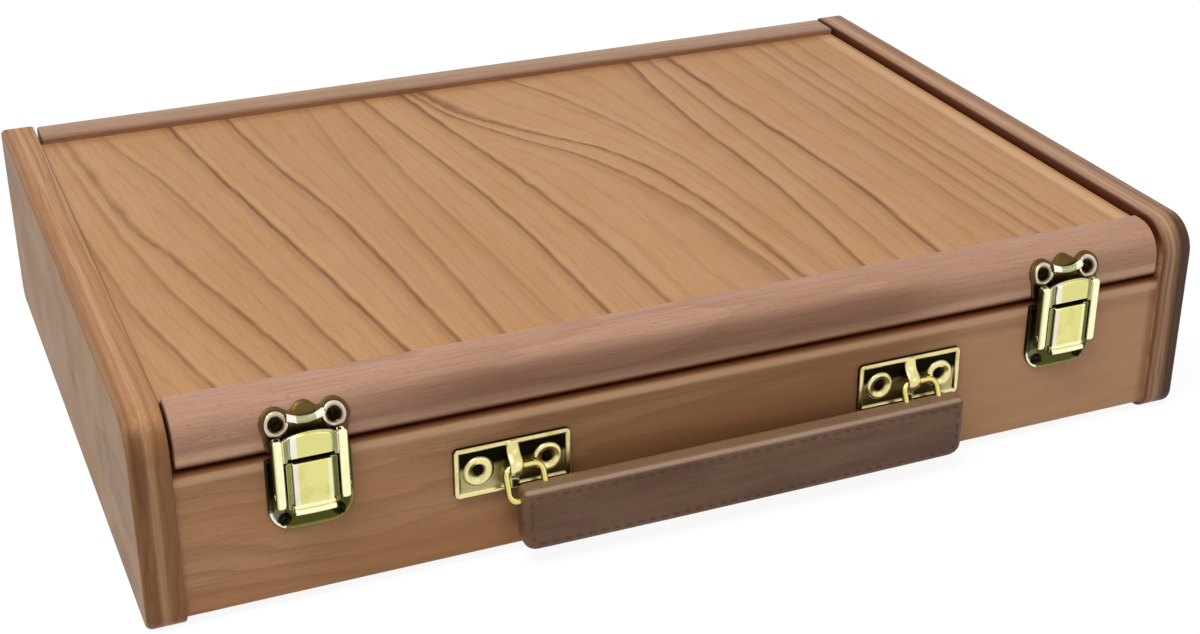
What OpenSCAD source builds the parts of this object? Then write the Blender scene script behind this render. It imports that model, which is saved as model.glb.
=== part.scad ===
/* [Box] */
// Outside width, over the two end boards
box_w = 420; // [360:5:520]
// Depth of the end boards, front to back
box_d = 288; // [240:2:380]
// Height of the end boards, which stand on the table
box_h = 82; // [78:1:110]
// Thickness of an end board
end_t = 14; // [12:0.5:20]
// Radius of an end board's top front corner
end_front_top_r = 14; // [6:0.5:16]
// Radius of an end board's bottom front corner
end_front_bottom_r = 7; // [2:0.5:12]
// Radius of an end board's bottom back corner
end_back_bottom_r = 8; // [2:0.5:12]
// Radius of an end board's top back corner
end_back_top_r = 3; // [1:0.5:6]
// How far the front and back faces lie inside the end boards' edges
face_recess = 1.5; // [0.5:0.1:3]
// Height of the underside of the boards above the table
skid_h = 3; // [1:0.5:6]
// Height of the lid's front rail
lid_h = 20; // [18:0.5:26]
// Gap between the base and the closed lid
seam_gap = 1.0; // [0.6:0.1:1.4]
// Gap between the lid and each end board
side_gap = 1.4; // [0.4:0.1:1.5]
// Clearance of a joint that is glued or pinned
fit_gap = 0.05; // [0.03:0.01:0.1]

/* [Base] */
// Thickness of the front and back boards
board_t = 12; // [10:0.5:16]
// Depth of the housings that hold the boards' ends
housing_d = 5; // [3:0.5:7]
// Thickness of the bottom panel
bottom_t = 4; // [3:0.5:6]
// Height of the bottom panel's underside above the boards' undersides
bottom_up = 3; // [2:0.5:5]
// Depth of the bottom panel's grooves
groove_d = 4; // [2:0.5:5]
// Thickness of a divider
divider_t = 5; // [3:0.5:8]
// Height of a divider above the bottom panel
divider_h = 38; // [25:1:42]
// Depth of the housings that hold the dividers' ends
divider_housing = 2; // [1:0.5:2.5]
// Clear width of the brush trough along the back
trough_d = 70; // [50:1:90]
// Number of paint compartments in front of the trough
compartments = 3; // [2:1:5]

/* [Lid] */
// Depth of the front rail, front to back
front_rail_d = 17; // [15:0.5:24]
// Depth of the back rail, front to back
back_rail_d = 18; // [15:0.5:24]
// How far the front rail's top lies under the end boards' tops
rail_recess = 1.5; // [0.5:0.1:3]
// How far the back rail's top lies under the end boards' tops
back_rail_recess = 0.2; // [0.1:0.1:3]
// How far the panel's top lies under the end boards' tops
panel_recess = 3; // [2:0.1:5]
// Thickness of the lid panel
panel_t = 5.5; // [4:0.5:7]
// Thickness of the panel's tongues
tongue_t = 2.5; // [2:0.5:3.5]
// Length of the panel's tongues, front to back
tongue_l = 5; // [3:0.5:6]
// Small radius along the rails' other corners
rail_edge_r = 1; // [0.5:0.1:2]
// Width of a side rail beside the palette
side_rail_w = 8; // [7:0.5:12]
// Width of the ledge that the palette lies against
ledge_w = 6; // [4:0.5:10]
// Length of a side rail's tenons
tenon_l = 4; // [2:0.5:6]
// Height of a side rail's tenons
tenon_h = 5; // [3:0.5:6]

/* [Palette] */
// Thickness of the palette
palette_t = 4; // [3:0.5:5]
// Gap round the palette's edges
palette_gap = 0.5; // [0.3:0.1:1]
// Gap over and under the palette
palette_play = 0.2; // [0.1:0.05:0.4]
// Radius of the palette's corners
palette_r = 6; // [2:1:20]
// Radius of the thumb hole
thumb_r = 13; // [10:0.5:16]
// Distance of the thumb hole from the palette's left edge
thumb_x = 38; // [25:1:60]
// Distance of the thumb hole from the palette's front edge
thumb_y = 60; // [30:1:110]
// Width of a turn button
button_w = 7; // [6:0.5:7.5]
// Length of a turn button from its screw to its tip
button_l = 11; // [9:0.5:16]
// Thickness of a turn button
button_t = 1.6; // [1:0.1:2.5]
// Gap between a turn button and the rail
button_gap = 0.2; // [0.1:0.05:0.4]

/* [Hinges] */
// Distance of a hinge's middle from the box's side
hinge_in = 85; // [50:1:120]
// Length of a hinge
hinge_l = 40; // [30:1:60]
// Height of a hinge leaf
leaf_h = 12; // [9:0.5:14]
// Thickness of a hinge leaf
leaf_t = 1; // [0.8:0.1:1.2]
// Radius of the barrel
barrel_r = 2.3; // [2:0.1:2.5]
// Distance of the barrel's axis behind the back face
barrel_out = 2.7; // [2.6:0.1:3]
// Radius of the hinge pin
hinge_pin_r = 1.1; // [0.8:0.1:1.2]
// Number of knuckles, both leaves together
knuckles = 5; // [3:2:7]
// Gap between two knuckles
knuckle_gap = 0.2; // [0.1:0.05:0.4]
// Distance between a leaf's two screws
hinge_screw_pitch = 24; // [16:1:26]

/* [Catches] */
// Distance of a catch's middle from the box's side
catch_in = 59.5; // [45:0.5:80]
// Width of a catch's base plate
plate_w = 30; // [29:0.5:34]
// Height of the base plate
plate_h = 28; // [27:0.5:30]
// Thickness of the base plate and the keeper
plate_t = 1; // [0.8:0.1:1.2]
// Radius of the base plate's bottom corners
plate_r = 9; // [5:0.5:12]
// Distance of the base plate under the seam
plate_drop = 1; // [0.5:0.1:2]
// Distance of the base plate's screws from its middle
plate_screw_x = 9.5; // [7:0.5:10]
// Height of the base plate's screws above its bottom edge
plate_screw_up = 4.5; // [4:0.5:6]
// Distance of the lever's pivot under the seam
pivot_drop = 2.4; // [2.2:0.1:3]
// Distance of the lever's pivot in front of the face
pivot_out = 4; // [3.8:0.1:4.4]
// Radius of the lever's pivot pin
pivot_r = 1; // [0.8:0.1:1.1]
// Thickness of the sheet that the lever and the bail are pressed from
sheet_t = 1.3; // [1:0.1:1.4]
// Width of the lever
lever_w = 16.8; // [15:0.2:17]
// Length of the lever under its pivot
lever_l = 16.5; // [14:0.5:17]
// Length of the lever over its pivot
lever_top = 1.7; // [1:0.1:1.8]
// Height of the raised field on the lever and the bail
pad_h = 0.5; // [0.3:0.1:0.8]
// Height of the finger lip at the lever's bottom
lip_out = 2.2; // [1:0.1:3]
// Thickness of the lever's side flanges
flange_t = 1; // [0.8:0.1:1.2]
// Thickness of the base plate's cheeks
cheek_t = 0.8; // [0.6:0.1:1]
// Side gap between the parts of a catch
catch_gap = 0.35; // [0.3:0.05:0.5]
// Distance of the bail's pivot under the lever's pivot
bail_drop = 10.5; // [9:0.5:11]
// Width of a bail arm
arm_w = 3.2; // [2.5:0.1:4]
// Thickness of a bail arm, front to back
arm_t = 3.6; // [3:0.1:4]
// Length of a bail arm under the bail's pivot
arm_below = 5; // [3:0.5:5]
// Distance of the bail's top edge over the seam
bail_top = 8.4; // [8:0.1:8.6]
// Height of the slot between the lever and the bail's plate
slot_h = 1.8; // [1.2:0.1:2.4]
// Radius of the bail's pivot pins
bail_pin_r = 0.8; // [0.6:0.1:0.9]
// Distance between the keeper's two screws
keeper_pitch = 20; // [18:0.5:22]
// Radius of the keeper's ears
ear_r = 6; // [5:0.5:6.5]
// Height of the keeper's screws over the seam
keeper_up = 12; // [11.5:0.1:12.5]
// Width of the keeper's hook lip
hook_w = 15; // [10:0.5:16]
// Distance of the keeper's hook lip in front of the face
hook_out = 4.4; // [3:0.1:4.6]

/* [Handle] */
// Distance of the handle's middle to the right of the box's middle
handle_x = 3; // [-10:0.5:10]
// Distance of a bracket's middle from the end of a centred grip
bracket_in = 9.5; // [8.5:0.5:20]
// Width of a bracket
bracket_w = 44; // [40:1:48]
// Height of a bracket
bracket_h = 20; // [15:0.5:22]
// Thickness of a bracket
bracket_t = 0.9; // [0.7:0.1:1]
// Width of a bracket's rim
rim_w = 1; // [0.6:0.1:1.5]
// Height of a bracket's rim over its sheet
rim_h = 0.6; // [0.3:0.1:0.9]
// Width of the saddle that holds the ring
saddle_w = 5; // [4:0.5:5.5]
// Thickness of the saddle's strap over the ring
saddle_t = 1.3; // [1:0.1:1.6]
// Distance of a bracket nail from the bracket's middle
nail_x = 13; // [13:0.5:14]
// Height of the handle's axis over the middle of the front board
handle_up = 6.75; // [2:0.25:8]
// Distance of the handle's axis in front of the face
handle_out = 3.6; // [3.5:0.1:4]
// Radius of a ring's wire
wire_r = 1.25; // [1:0.05:1.3]
// How much thinner a ring's legs are, in radius
leg_thinner = 0.15; // [0.1:0.05:0.3]
// Distance between a ring's two legs
ring_w = 14; // [13:0.5:16]
// Distance of the rings to the right of their saddles
ring_slide = 2.9; // [0:0.1:2.9]
// Length of the grip
grip_l = 180; // [150:1:190]
// Height of the grip as it hangs
grip_h = 25; // [18:0.5:26]
// Thickness of the grip
grip_t = 9; // [7:0.5:10]
// Radius of the grip's long edges
grip_r = 3; // [1:0.5:3.5]
// Distance of the grip's top under the handle's axis
grip_drop = 5.8; // [4.2:0.1:6]
// Distance of the grip's back in front of the face
grip_out = 4.6; // [4:0.1:6]
// Distance of the grip to the right of the handle's middle
grip_slide = 9; // [0:0.5:9]
// Depth of the ring's lower bar inside the grip
ring_in = 5; // [4:0.5:7]

/* [Screws] */
// Radius of a screw head
head_r = 2.6; // [2:0.1:2.8]
// Height of a screw head
head_h = 1.1; // [0.6:0.1:1.1]
// Radius of a screw's shank
shank_r = 1.2; // [0.9:0.1:1.4]
// Length of a screw's shank under its head
shank_l = 9; // [6:0.5:10]
// Width of a screw head's slot
slot_w = 0.6; // [0.4:0.1:0.8]
// Depth of a screw head's slot
slot_d = 0.5; // [0.2:0.1:0.5]

/* [Hidden] */
$fn = 48;

// How far the handle and the hinge barrels reach past the end boards, and the
// front edge that then puts the middle of the whole depth at the origin
front_reach = grip_out + grip_t - face_recess;
back_reach = barrel_out + barrel_r - face_recess;
front_y = (front_reach - box_d - back_reach) / 2;
back_y = front_y + box_d;
front_face = front_y + face_recess;
back_face = back_y - face_recess;

// Inside of the base
inner_x = box_w / 2 - end_t;
base_front = front_face + board_t;
base_back = back_face - board_t;
floor_z = skid_h + bottom_up + bottom_t;
trough_front = base_back - trough_d;
compartment_w = (2 * inner_x - (compartments - 1) * divider_t) / compartments;

// Lid, and the seam where the box opens
lid_x = inner_x - side_gap;
rail_top = box_h - rail_recess;
back_rail_top = box_h - back_rail_recess;
lid_z = rail_top - lid_h;
seam_z = lid_z - seam_gap;
panel_top = box_h - panel_recess;
panel_z = panel_top - panel_t;
lid_front = front_face + front_rail_d;
lid_back = back_face - back_rail_d;
palette_x = lid_x - side_rail_w - palette_gap;
palette_z = lid_z + palette_play;
ledge_z = palette_z + palette_t + palette_play;
button_x = lid_x - side_rail_w / 2;
button_z = lid_z - button_gap - button_t;
button_y = (front_y + back_y) / 2;

// Hinges
hinge_x = box_w / 2 - hinge_in;
axis_z = seam_z + seam_gap / 2;
axis_y = back_face + barrel_out;
leaf_z = barrel_r + knuckle_gap;
knuckle_l = hinge_l / knuckles;

// Catches, measured in front of the front face
catch_x = box_w / 2 - catch_in;
pivot_z = seam_z - pivot_drop;
bail_z = pivot_z - bail_drop;
sheet_out = pivot_out + pivot_r + 0.3;
flange_x = lever_w / 2;
cheek_x = flange_x + catch_gap;
arm_x = cheek_x + cheek_t + catch_gap;
bail_plate_z = pivot_z + lever_top + slot_h;
bail_top_z = seam_z + bail_top;
keeper_z = seam_z + keeper_up;
rail_r = end_front_top_r - face_recess;
rail_bend_z = rail_top - rail_r;
keeper_lean = asin(max(0, keeper_z - rail_bend_z) / (rail_r + plate_t));

// Handle
bracket_x = grip_l / 2 - bracket_in;
handle_z = (skid_h + seam_z) / 2 + handle_up;
grip_z = handle_z - grip_drop - grip_h;
bar_z = handle_z - grip_drop - ring_in;
bar_out = grip_out + grip_t / 2;
ring_fall = handle_z - bar_z;
ring_lean = bar_out - handle_out;
ring_leg = sqrt(ring_fall * ring_fall + ring_lean * ring_lean);

// Colours
beech = [0.66, 0.48, 0.34];
beech_light = [0.76, 0.59, 0.43];
birch = [0.85, 0.74, 0.56];
brass = [0.85, 0.78, 0.45];
brass_dark = [0.70, 0.62, 0.34];
leather = [0.38, 0.28, 0.24];

// A rectangle with its four corners rounded: bottom left, bottom right, top right, top left
module rounded_rect(x0, y0, x1, y1, r) {
    polygon([
        [x0 + r[0], y0], [x1 - r[1], y0], [x1, y0 + r[1]], [x1, y1 - r[2]],
        [x1 - r[2], y1], [x0 + r[3], y1], [x0, y1 - r[3]], [x0, y0 + r[0]]
    ]);
    quarter(x0 + r[0], y0 + r[0], -1, -1, r[0]);
    quarter(x1 - r[1], y0 + r[1], 1, -1, r[1]);
    quarter(x1 - r[2], y1 - r[2], 1, 1, r[2]);
    quarter(x0 + r[3], y1 - r[3], -1, 1, r[3]);
}

// A quarter of a disc, on the side of its centre that sx and sy give
module quarter(cx, cy, sx, sy, r) {
    intersection() {
        translate([cx, cy]) circle(r);
        translate([sx < 0 ? cx - r : cx, sy < 0 ? cy - r : cy]) square(r);
    }
}

// A box between two corners
module block(lo, hi) {
    translate(lo) cube(hi - lo);
}

// An outline in the YZ plane, drawn out along X
module along_x(x0, length) {
    translate([x0, 0, 0]) rotate([90, 0, 90]) linear_extrude(length) children();
}

// A round bar along X
module bar_x(x0, x1, y, z, r) {
    translate([x0, y, z]) rotate([0, 90, 0]) cylinder(r = r, h = x1 - x0);
}

// Places children on the front face: their X is right, Y is up and Z points forwards
module on_front(x, z, out = 0) {
    translate([x, front_face - out, z]) rotate([90, 0, 0]) children();
}

// Places children on the back face, Z pointing backwards
module on_back(x, z, out = 0) {
    translate([x, back_face + out, z]) rotate([90, 0, 180]) children();
}

// A screw with its head's underside at the origin and its shank going down
module screw() {
    difference() {
        cylinder(r1 = head_r, r2 = head_r * 0.72, h = head_h);
        translate([-head_r, -slot_w / 2, head_h - slot_d]) cube([2 * head_r, slot_w, head_h]);
    }
    translate([0, 0, -shank_l]) cylinder(r = shank_r, h = shank_l + head_h / 4);
}

// The hole that a screw's shank needs, through a sheet and into the wood
module screw_hole() {
    translate([0, 0, -shank_l - 0.5]) cylinder(r = shank_r + fit_gap, h = shank_l + 1);
}

// Places of the screws and nails
module plate_screw_places() {
    for (side = [-1, 1]) {
        for (k = [-1, 1]) {
            on_front(side * catch_x + k * plate_screw_x, seam_z - plate_drop - plate_h + plate_screw_up, plate_t)
                children();
        }
    }
}

module keeper_screw_places() {
    for (side = [-1, 1]) {
        for (k = [-1, 1]) {
            translate([side * catch_x + k * keeper_pitch / 2, front_face + rail_r, rail_bend_z])
                rotate([90 - keeper_lean, 0, 0]) translate([0, 0, rail_r + plate_t]) children();
        }
    }
}

module nail_places() {
    for (side = [-1, 1]) {
        for (k = [-1, 1]) {
            on_front(handle_x + side * bracket_x + k * nail_x, handle_z, bracket_t) children();
        }
    }
}

module hinge_screw_places(lid) {
    z = lid ? axis_z + leaf_z + leaf_h / 2 : axis_z - leaf_z - leaf_h / 2;
    for (side = [-1, 1]) {
        for (k = [-1, 1]) {
            on_back(side * hinge_x + k * hinge_screw_pitch / 2, z, leaf_t) children();
        }
    }
}

module button_screw_places() {
    for (side = [-1, 1]) {
        translate([side * button_x, button_y, button_z]) rotate([180, 0, 0]) children();
    }
}

// Solids that other pieces are cut for, each grown by g
module front_board_solid(g) {
    x = inner_x + housing_d;
    block([-x - g, front_face - g, skid_h - g], [x + g, base_front + g, seam_z + g]);
}

module back_board_solid(g) {
    x = inner_x + housing_d;
    block([-x - g, base_back - g, skid_h - g], [x + g, back_face + g, seam_z + g]);
}

module bottom_solid(g) {
    x = inner_x + groove_d;
    block([-x - g, base_front - groove_d - g, floor_z - bottom_t - g],
          [x + g, base_back + groove_d + g, floor_z + g]);
}

module trough_divider_solid(g) {
    x = inner_x + divider_housing;
    block([-x - g, trough_front - divider_t - g, floor_z + g],
          [x + g, trough_front + g, floor_z + divider_h + g]);
}

module compartment_dividers_solid(g) {
    for (i = [1 : compartments - 1]) {
        x = -inner_x + i * compartment_w + (i - 1) * divider_t;
        block([x - g, base_front - divider_housing - g, floor_z + g],
              [x + divider_t + g, trough_front - divider_t + divider_housing + g, floor_z + divider_h + g]);
    }
}

module lid_panel_solid(g) {
    block([-lid_x - g, lid_front, panel_z], [lid_x + g, lid_back, panel_top]);
    block([-lid_x - g, lid_front - tongue_l - g, panel_z - g],
          [lid_x + g, lid_back + tongue_l + g, panel_z + tongue_t + g]);
}

module tenon_solid(side, g) {
    z = (ledge_z + panel_z) / 2;
    x0 = side < 0 ? -lid_x : lid_x - side_rail_w;
    block([x0 - g, lid_front - tenon_l - g, z - tenon_h / 2 - g],
          [x0 + side_rail_w + g, lid_back + tenon_l + g, z + tenon_h / 2 + g]);
}

// End board, with its housings
module end_board(side) {
    x0 = side < 0 ? -box_w / 2 : box_w / 2 - end_t;
    difference() {
        along_x(x0, end_t) rounded_rect(front_y, 0, back_y, box_h,
            [end_front_bottom_r, end_back_bottom_r, end_back_top_r, end_front_top_r]);
        front_board_solid(fit_gap);
        back_board_solid(fit_gap);
        bottom_solid(fit_gap);
        trough_divider_solid(fit_gap);
    }
}

module left_end_board() { color(beech) end_board(-1); }
module right_end_board() { color(beech) end_board(1); }

module front_board() {
    color(beech) difference() {
        front_board_solid(0);
        bottom_solid(fit_gap);
        compartment_dividers_solid(fit_gap);
        plate_screw_places() screw_hole();
        nail_places() screw_hole();
    }
}

module back_board() {
    color(beech) difference() {
        back_board_solid(0);
        bottom_solid(fit_gap);
        hinge_screw_places(false) screw_hole();
    }
}

module bottom_panel() { color(birch) bottom_solid(0); }

module trough_divider() {
    color(birch) difference() {
        trough_divider_solid(0);
        compartment_dividers_solid(fit_gap);
    }
}

module compartment_dividers() { color(birch) compartment_dividers_solid(0); }

// Lid
module lid_front_rail() {
    r = rail_edge_r;
    color(beech) difference() {
        along_x(-lid_x, 2 * lid_x) rounded_rect(front_face, lid_z, lid_front, rail_top,
            [r, r, r, rail_r]);
        lid_panel_solid(fit_gap);
        tenon_solid(-1, fit_gap);
        tenon_solid(1, fit_gap);
        keeper_screw_places() screw_hole();
    }
}

module lid_back_rail() {
    r = rail_edge_r;
    color(beech) difference() {
        along_x(-lid_x, 2 * lid_x) rounded_rect(lid_back, lid_z, back_face, back_rail_top,
            [r, r, end_back_top_r, r]);
        lid_panel_solid(fit_gap);
        tenon_solid(-1, fit_gap);
        tenon_solid(1, fit_gap);
        hinge_screw_places(true) screw_hole();
    }
}

module side_rail(side) {
    x0 = side < 0 ? -lid_x : lid_x - side_rail_w;
    xl = side < 0 ? -lid_x : lid_x - side_rail_w - ledge_w;
    difference() {
        union() {
            block([x0, lid_front, lid_z], [x0 + side_rail_w, lid_back, panel_z]);
            block([xl, lid_front, ledge_z], [xl + side_rail_w + ledge_w, lid_back, panel_z]);
            tenon_solid(side, 0);
        }
        button_screw_places() screw_hole();
    }
}

module lid_left_rail() { color(beech) side_rail(-1); }
module lid_right_rail() { color(beech) side_rail(1); }
module lid_panel() { color(beech_light) lid_panel_solid(0); }

// Palette with its thumb hole
module palette() {
    r = palette_r;
    color(birch) difference() {
        translate([0, 0, palette_z]) linear_extrude(palette_t)
            rounded_rect(-palette_x, lid_front + palette_gap, palette_x, lid_back - palette_gap, [r, r, r, r]);
        translate([-palette_x + thumb_x, lid_front + palette_gap + thumb_y, palette_z - 1])
            cylinder(r = thumb_r, h = palette_t + 2);
    }
}

// A turn button points to the middle of the box, and turns on its screw
module turn_button(side) {
    translate([side * button_x, button_y, button_z]) difference() {
        linear_extrude(button_t) {
            circle(button_w / 2);
            translate([side < 0 ? 0 : -button_l + button_w / 2, -button_w / 2])
                square([button_l - button_w / 2, button_w]);
            translate([-side * (button_l - button_w / 2), 0]) circle(button_w / 2);
        }
        translate([0, 0, -1]) cylinder(r = shank_r + fit_gap, h = button_t + 2);
    }
}

module left_turn_button() { color(brass) turn_button(-1); }
module right_turn_button() { color(brass) turn_button(1); }
module turn_button_screws() { color(brass_dark) button_screw_places() screw(); }

// Hinges: the base leaf has the odd knuckles, the lid leaf the even ones
module knuckle_set(x, lid) {
    for (i = [(lid ? 1 : 0) : 2 : knuckles - 1]) {
        x0 = x - hinge_l / 2 + i * knuckle_l + knuckle_gap / 2;
        x1 = x0 + knuckle_l - knuckle_gap;
        bar_x(x0, x1, axis_y, axis_z, barrel_r);
        block([x0, back_face, lid ? axis_z : axis_z - leaf_z - leaf_t],
              [x1, axis_y, lid ? axis_z + leaf_z + leaf_t : axis_z]);
    }
}

module hinge_leaf(side, lid) {
    x = side * hinge_x;
    difference() {
        union() {
            block([x - hinge_l / 2, back_face, lid ? axis_z + leaf_z : axis_z - leaf_z - leaf_h],
                  [x + hinge_l / 2, back_face + leaf_t, lid ? axis_z + leaf_z + leaf_h : axis_z - leaf_z]);
            knuckle_set(x, lid);
        }
        bar_x(x - hinge_l, x + hinge_l, axis_y, axis_z, hinge_pin_r + fit_gap);
        hinge_screw_places(lid) screw_hole();
    }
}

module hinge_pin(side) {
    bar_x(side * hinge_x - hinge_l / 2, side * hinge_x + hinge_l / 2, axis_y, axis_z, hinge_pin_r);
}

module left_hinge_base_leaf() { color(brass) hinge_leaf(-1, false); }
module left_hinge_lid_leaf() { color(brass) hinge_leaf(-1, true); }
module left_hinge_pin() { color(brass_dark) hinge_pin(-1); }
module right_hinge_base_leaf() { color(brass) hinge_leaf(1, false); }
module right_hinge_lid_leaf() { color(brass) hinge_leaf(1, true); }
module right_hinge_pin() { color(brass_dark) hinge_pin(1); }
module hinge_base_screws() { color(brass_dark) hinge_screw_places(false) screw(); }
module hinge_lid_screws() { color(brass_dark) hinge_screw_places(true) screw(); }

// Catch base plate, with the two cheeks that carry the lever's pin
module catch_plate(side) {
    x = side * catch_x;
    top = seam_z - plate_drop;
    cheek_r = pivot_r + 0.9;
    difference() {
        union() {
            on_front(x, 0) linear_extrude(plate_t) rounded_rect(-plate_w / 2, top - plate_h, plate_w / 2, top,
                [plate_r, plate_r, rail_edge_r, rail_edge_r]);
            for (k = [-1, 1]) {
                xc = x + (k < 0 ? -cheek_x - cheek_t : cheek_x);
                bar_x(xc, xc + cheek_t, front_face - pivot_out, pivot_z, cheek_r);
                block([xc, front_face - pivot_out, pivot_z - cheek_r], [xc + cheek_t, front_face, pivot_z + cheek_r]);
            }
        }
        bar_x(x - plate_w, x + plate_w, front_face - pivot_out, pivot_z, pivot_r + fit_gap);
        plate_screw_places() screw_hole();
    }
}

module catch_pin(side) {
    x = side * catch_x;
    bar_x(x - cheek_x - cheek_t, x + cheek_x + cheek_t, front_face - pivot_out, pivot_z, pivot_r);
}

// Lever: a pressed plate with side flanges, a raised field and a finger lip
module catch_lever(side) {
    x = side * catch_x;
    top = pivot_z + lever_top;
    low = pivot_z - lever_l;
    hub_r = lever_top;
    rise = 2 * rail_edge_r;
    difference() {
        union() {
            on_front(x, 0, sheet_out) linear_extrude(sheet_t) square_at(-flange_x, low, flange_x, top);
            on_front(x, 0, sheet_out + sheet_t / 2) linear_extrude(sheet_t / 2 + pad_h)
                square_at(-flange_x + rise, low + rise, flange_x - rise, top - rail_edge_r);
            on_front(x, 0, sheet_out) linear_extrude(sheet_t + lip_out)
                square_at(-flange_x + rise / 2, low - rail_edge_r, flange_x - rise / 2, low + rail_edge_r / 2);
            for (k = [-1, 1]) {
                xf = x + (k < 0 ? -flange_x : flange_x - flange_t);
                bar_x(xf, xf + flange_t, front_face - pivot_out, pivot_z, hub_r);
                block([xf, front_face - sheet_out - sheet_t / 2, bail_z - 2.4],
                      [xf + flange_t, front_face - pivot_out + 1.6, pivot_z]);
            }
        }
        bar_x(x - plate_w, x + plate_w, front_face - pivot_out, pivot_z, pivot_r + fit_gap);
        bar_x(x - plate_w, x + plate_w, front_face - pivot_out, bail_z, bail_pin_r + fit_gap);
    }
}

module square_at(x0, y0, x1, y1) {
    translate([x0, y0]) square([x1 - x0, y1 - y0]);
}

// Bail: two arms beside the lever, joined over it by the plate that reaches past the seam
module catch_bail(side) {
    x = side * catch_x;
    rise = 2 * rail_edge_r;
    arm_out = sheet_out + sheet_t - arm_t;
    difference() {
        union() {
            for (k = [-1, 1]) {
                x0 = k < 0 ? -arm_x - arm_w : arm_x;
                on_front(x, 0, arm_out) linear_extrude(arm_t) square_at(x0, bail_z - arm_below, x0 + arm_w, bail_top_z);
            }
            on_front(x, 0, sheet_out) linear_extrude(sheet_t) square_at(-arm_x, bail_plate_z, arm_x, bail_top_z);
            on_front(x, 0, sheet_out) linear_extrude(sheet_t + pad_h)
                square_at(-flange_x + rise, bail_plate_z + rail_edge_r, flange_x - rise, bail_top_z - rail_edge_r);
        }
        bar_x(x - arm_x - arm_w + 0.3, x + arm_x + arm_w - 0.3, front_face - pivot_out, bail_z,
              bail_pin_r + fit_gap);
    }
}

module catch_bail_pins(side) {
    x = side * catch_x;
    inner = flange_x - flange_t - 0.2;
    outer = arm_x + arm_w - 0.4;
    bar_x(x - outer, x - inner, front_face - pivot_out, bail_z, bail_pin_r);
    bar_x(x + inner, x + outer, front_face - pivot_out, bail_z, bail_pin_r);
}

// A sheet that lies on the front rail and follows its rounded edge
module bent_sheet(x, half) {
    r = rail_edge_r;
    difference() {
        along_x(x - half, 2 * half)
            rounded_rect(front_face - plate_t, lid_z, lid_front, rail_top + plate_t, [r, r, r, rail_r + plate_t]);
        along_x(x - 2 * half, 4 * half)
            rounded_rect(front_face, lid_z - 1, lid_front + 1, rail_top, [r, r, r, rail_r]);
    }
}

// Keeper: a bent plate with two screw ears and the lip that the bail comes down over
module catch_keeper(side) {
    x = side * catch_x;
    low = lid_z + rail_edge_r;
    difference() {
        union() {
            intersection() {
                bent_sheet(x, plate_w);
                on_front(x, 0, -rail_r) linear_extrude(rail_r + 2 * plate_t) {
                    for (k = [-1, 1]) {
                        translate([k * keeper_pitch / 2, keeper_z]) circle(ear_r);
                    }
                    square_at(-keeper_pitch / 2 - ear_r * 0.6, low, keeper_pitch / 2 + ear_r * 0.6, keeper_z);
                    square_at(-keeper_pitch / 2, low, keeper_pitch / 2, keeper_z + ear_r * 0.4);
                }
            }
            bar_x(x - hook_w / 2, x + hook_w / 2, front_face - hook_out + 1, bail_top_z - 2, 1);
            block([x - hook_w / 2, front_face - hook_out + 1, bail_top_z - 3],
                  [x + hook_w / 2, front_face, bail_top_z - 1]);
        }
        keeper_screw_places() screw_hole();
    }
}

module left_catch_plate() { color(brass_dark) catch_plate(-1); }
module left_catch_pin() { color(brass_dark) catch_pin(-1); }
module left_catch_lever() { color(brass) catch_lever(-1); }
module left_catch_bail() { color(brass) catch_bail(-1); }
module left_catch_bail_pins() { color(brass_dark) catch_bail_pins(-1); }
module left_catch_keeper() { color(brass) catch_keeper(-1); }
module right_catch_plate() { color(brass_dark) catch_plate(1); }
module right_catch_pin() { color(brass_dark) catch_pin(1); }
module right_catch_lever() { color(brass) catch_lever(1); }
module right_catch_bail() { color(brass) catch_bail(1); }
module right_catch_bail_pins() { color(brass_dark) catch_bail_pins(1); }
module right_catch_keeper() { color(brass) catch_keeper(1); }
module catch_plate_screws() { color(brass_dark) plate_screw_places() screw(); }
module keeper_screws() { color(brass_dark) keeper_screw_places() screw(); }

// A ring of wire through a saddle and the grip, grown by g: two bars, and two thinner legs
// brazed between them
module handle_ring_solid(side, g) {
    x = handle_x + side * bracket_x + ring_slide;
    half = ring_w / 2 + wire_r + g;
    lean = atan2(ring_fall, ring_lean);
    on_front(x, 0) {
        for (bar = [[handle_z, handle_out], [bar_z, bar_out]]) {
            translate([-half, bar[0], bar[1]]) rotate([0, 90, 0]) cylinder(r = wire_r + g, h = 2 * half);
        }
        for (k = [-1, 1]) {
            translate([k * ring_w / 2, handle_z, handle_out]) rotate([lean, 0, 0])
                cylinder(r = wire_r - leg_thinner + g, h = ring_leg);
        }
    }
}

module left_handle_ring() { color(brass) handle_ring_solid(-1, 0); }
module right_handle_ring() { color(brass) handle_ring_solid(1, 0); }

module handle_grip() {
    r = grip_r;
    y = front_face - grip_out;
    color(leather) difference() {
        along_x(handle_x + grip_slide - grip_l / 2, grip_l)
            rounded_rect(y - grip_t, grip_z, y, grip_z + grip_h, [r, r, r, r]);
        handle_ring_solid(-1, fit_gap);
        handle_ring_solid(1, fit_gap);
    }
}

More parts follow.
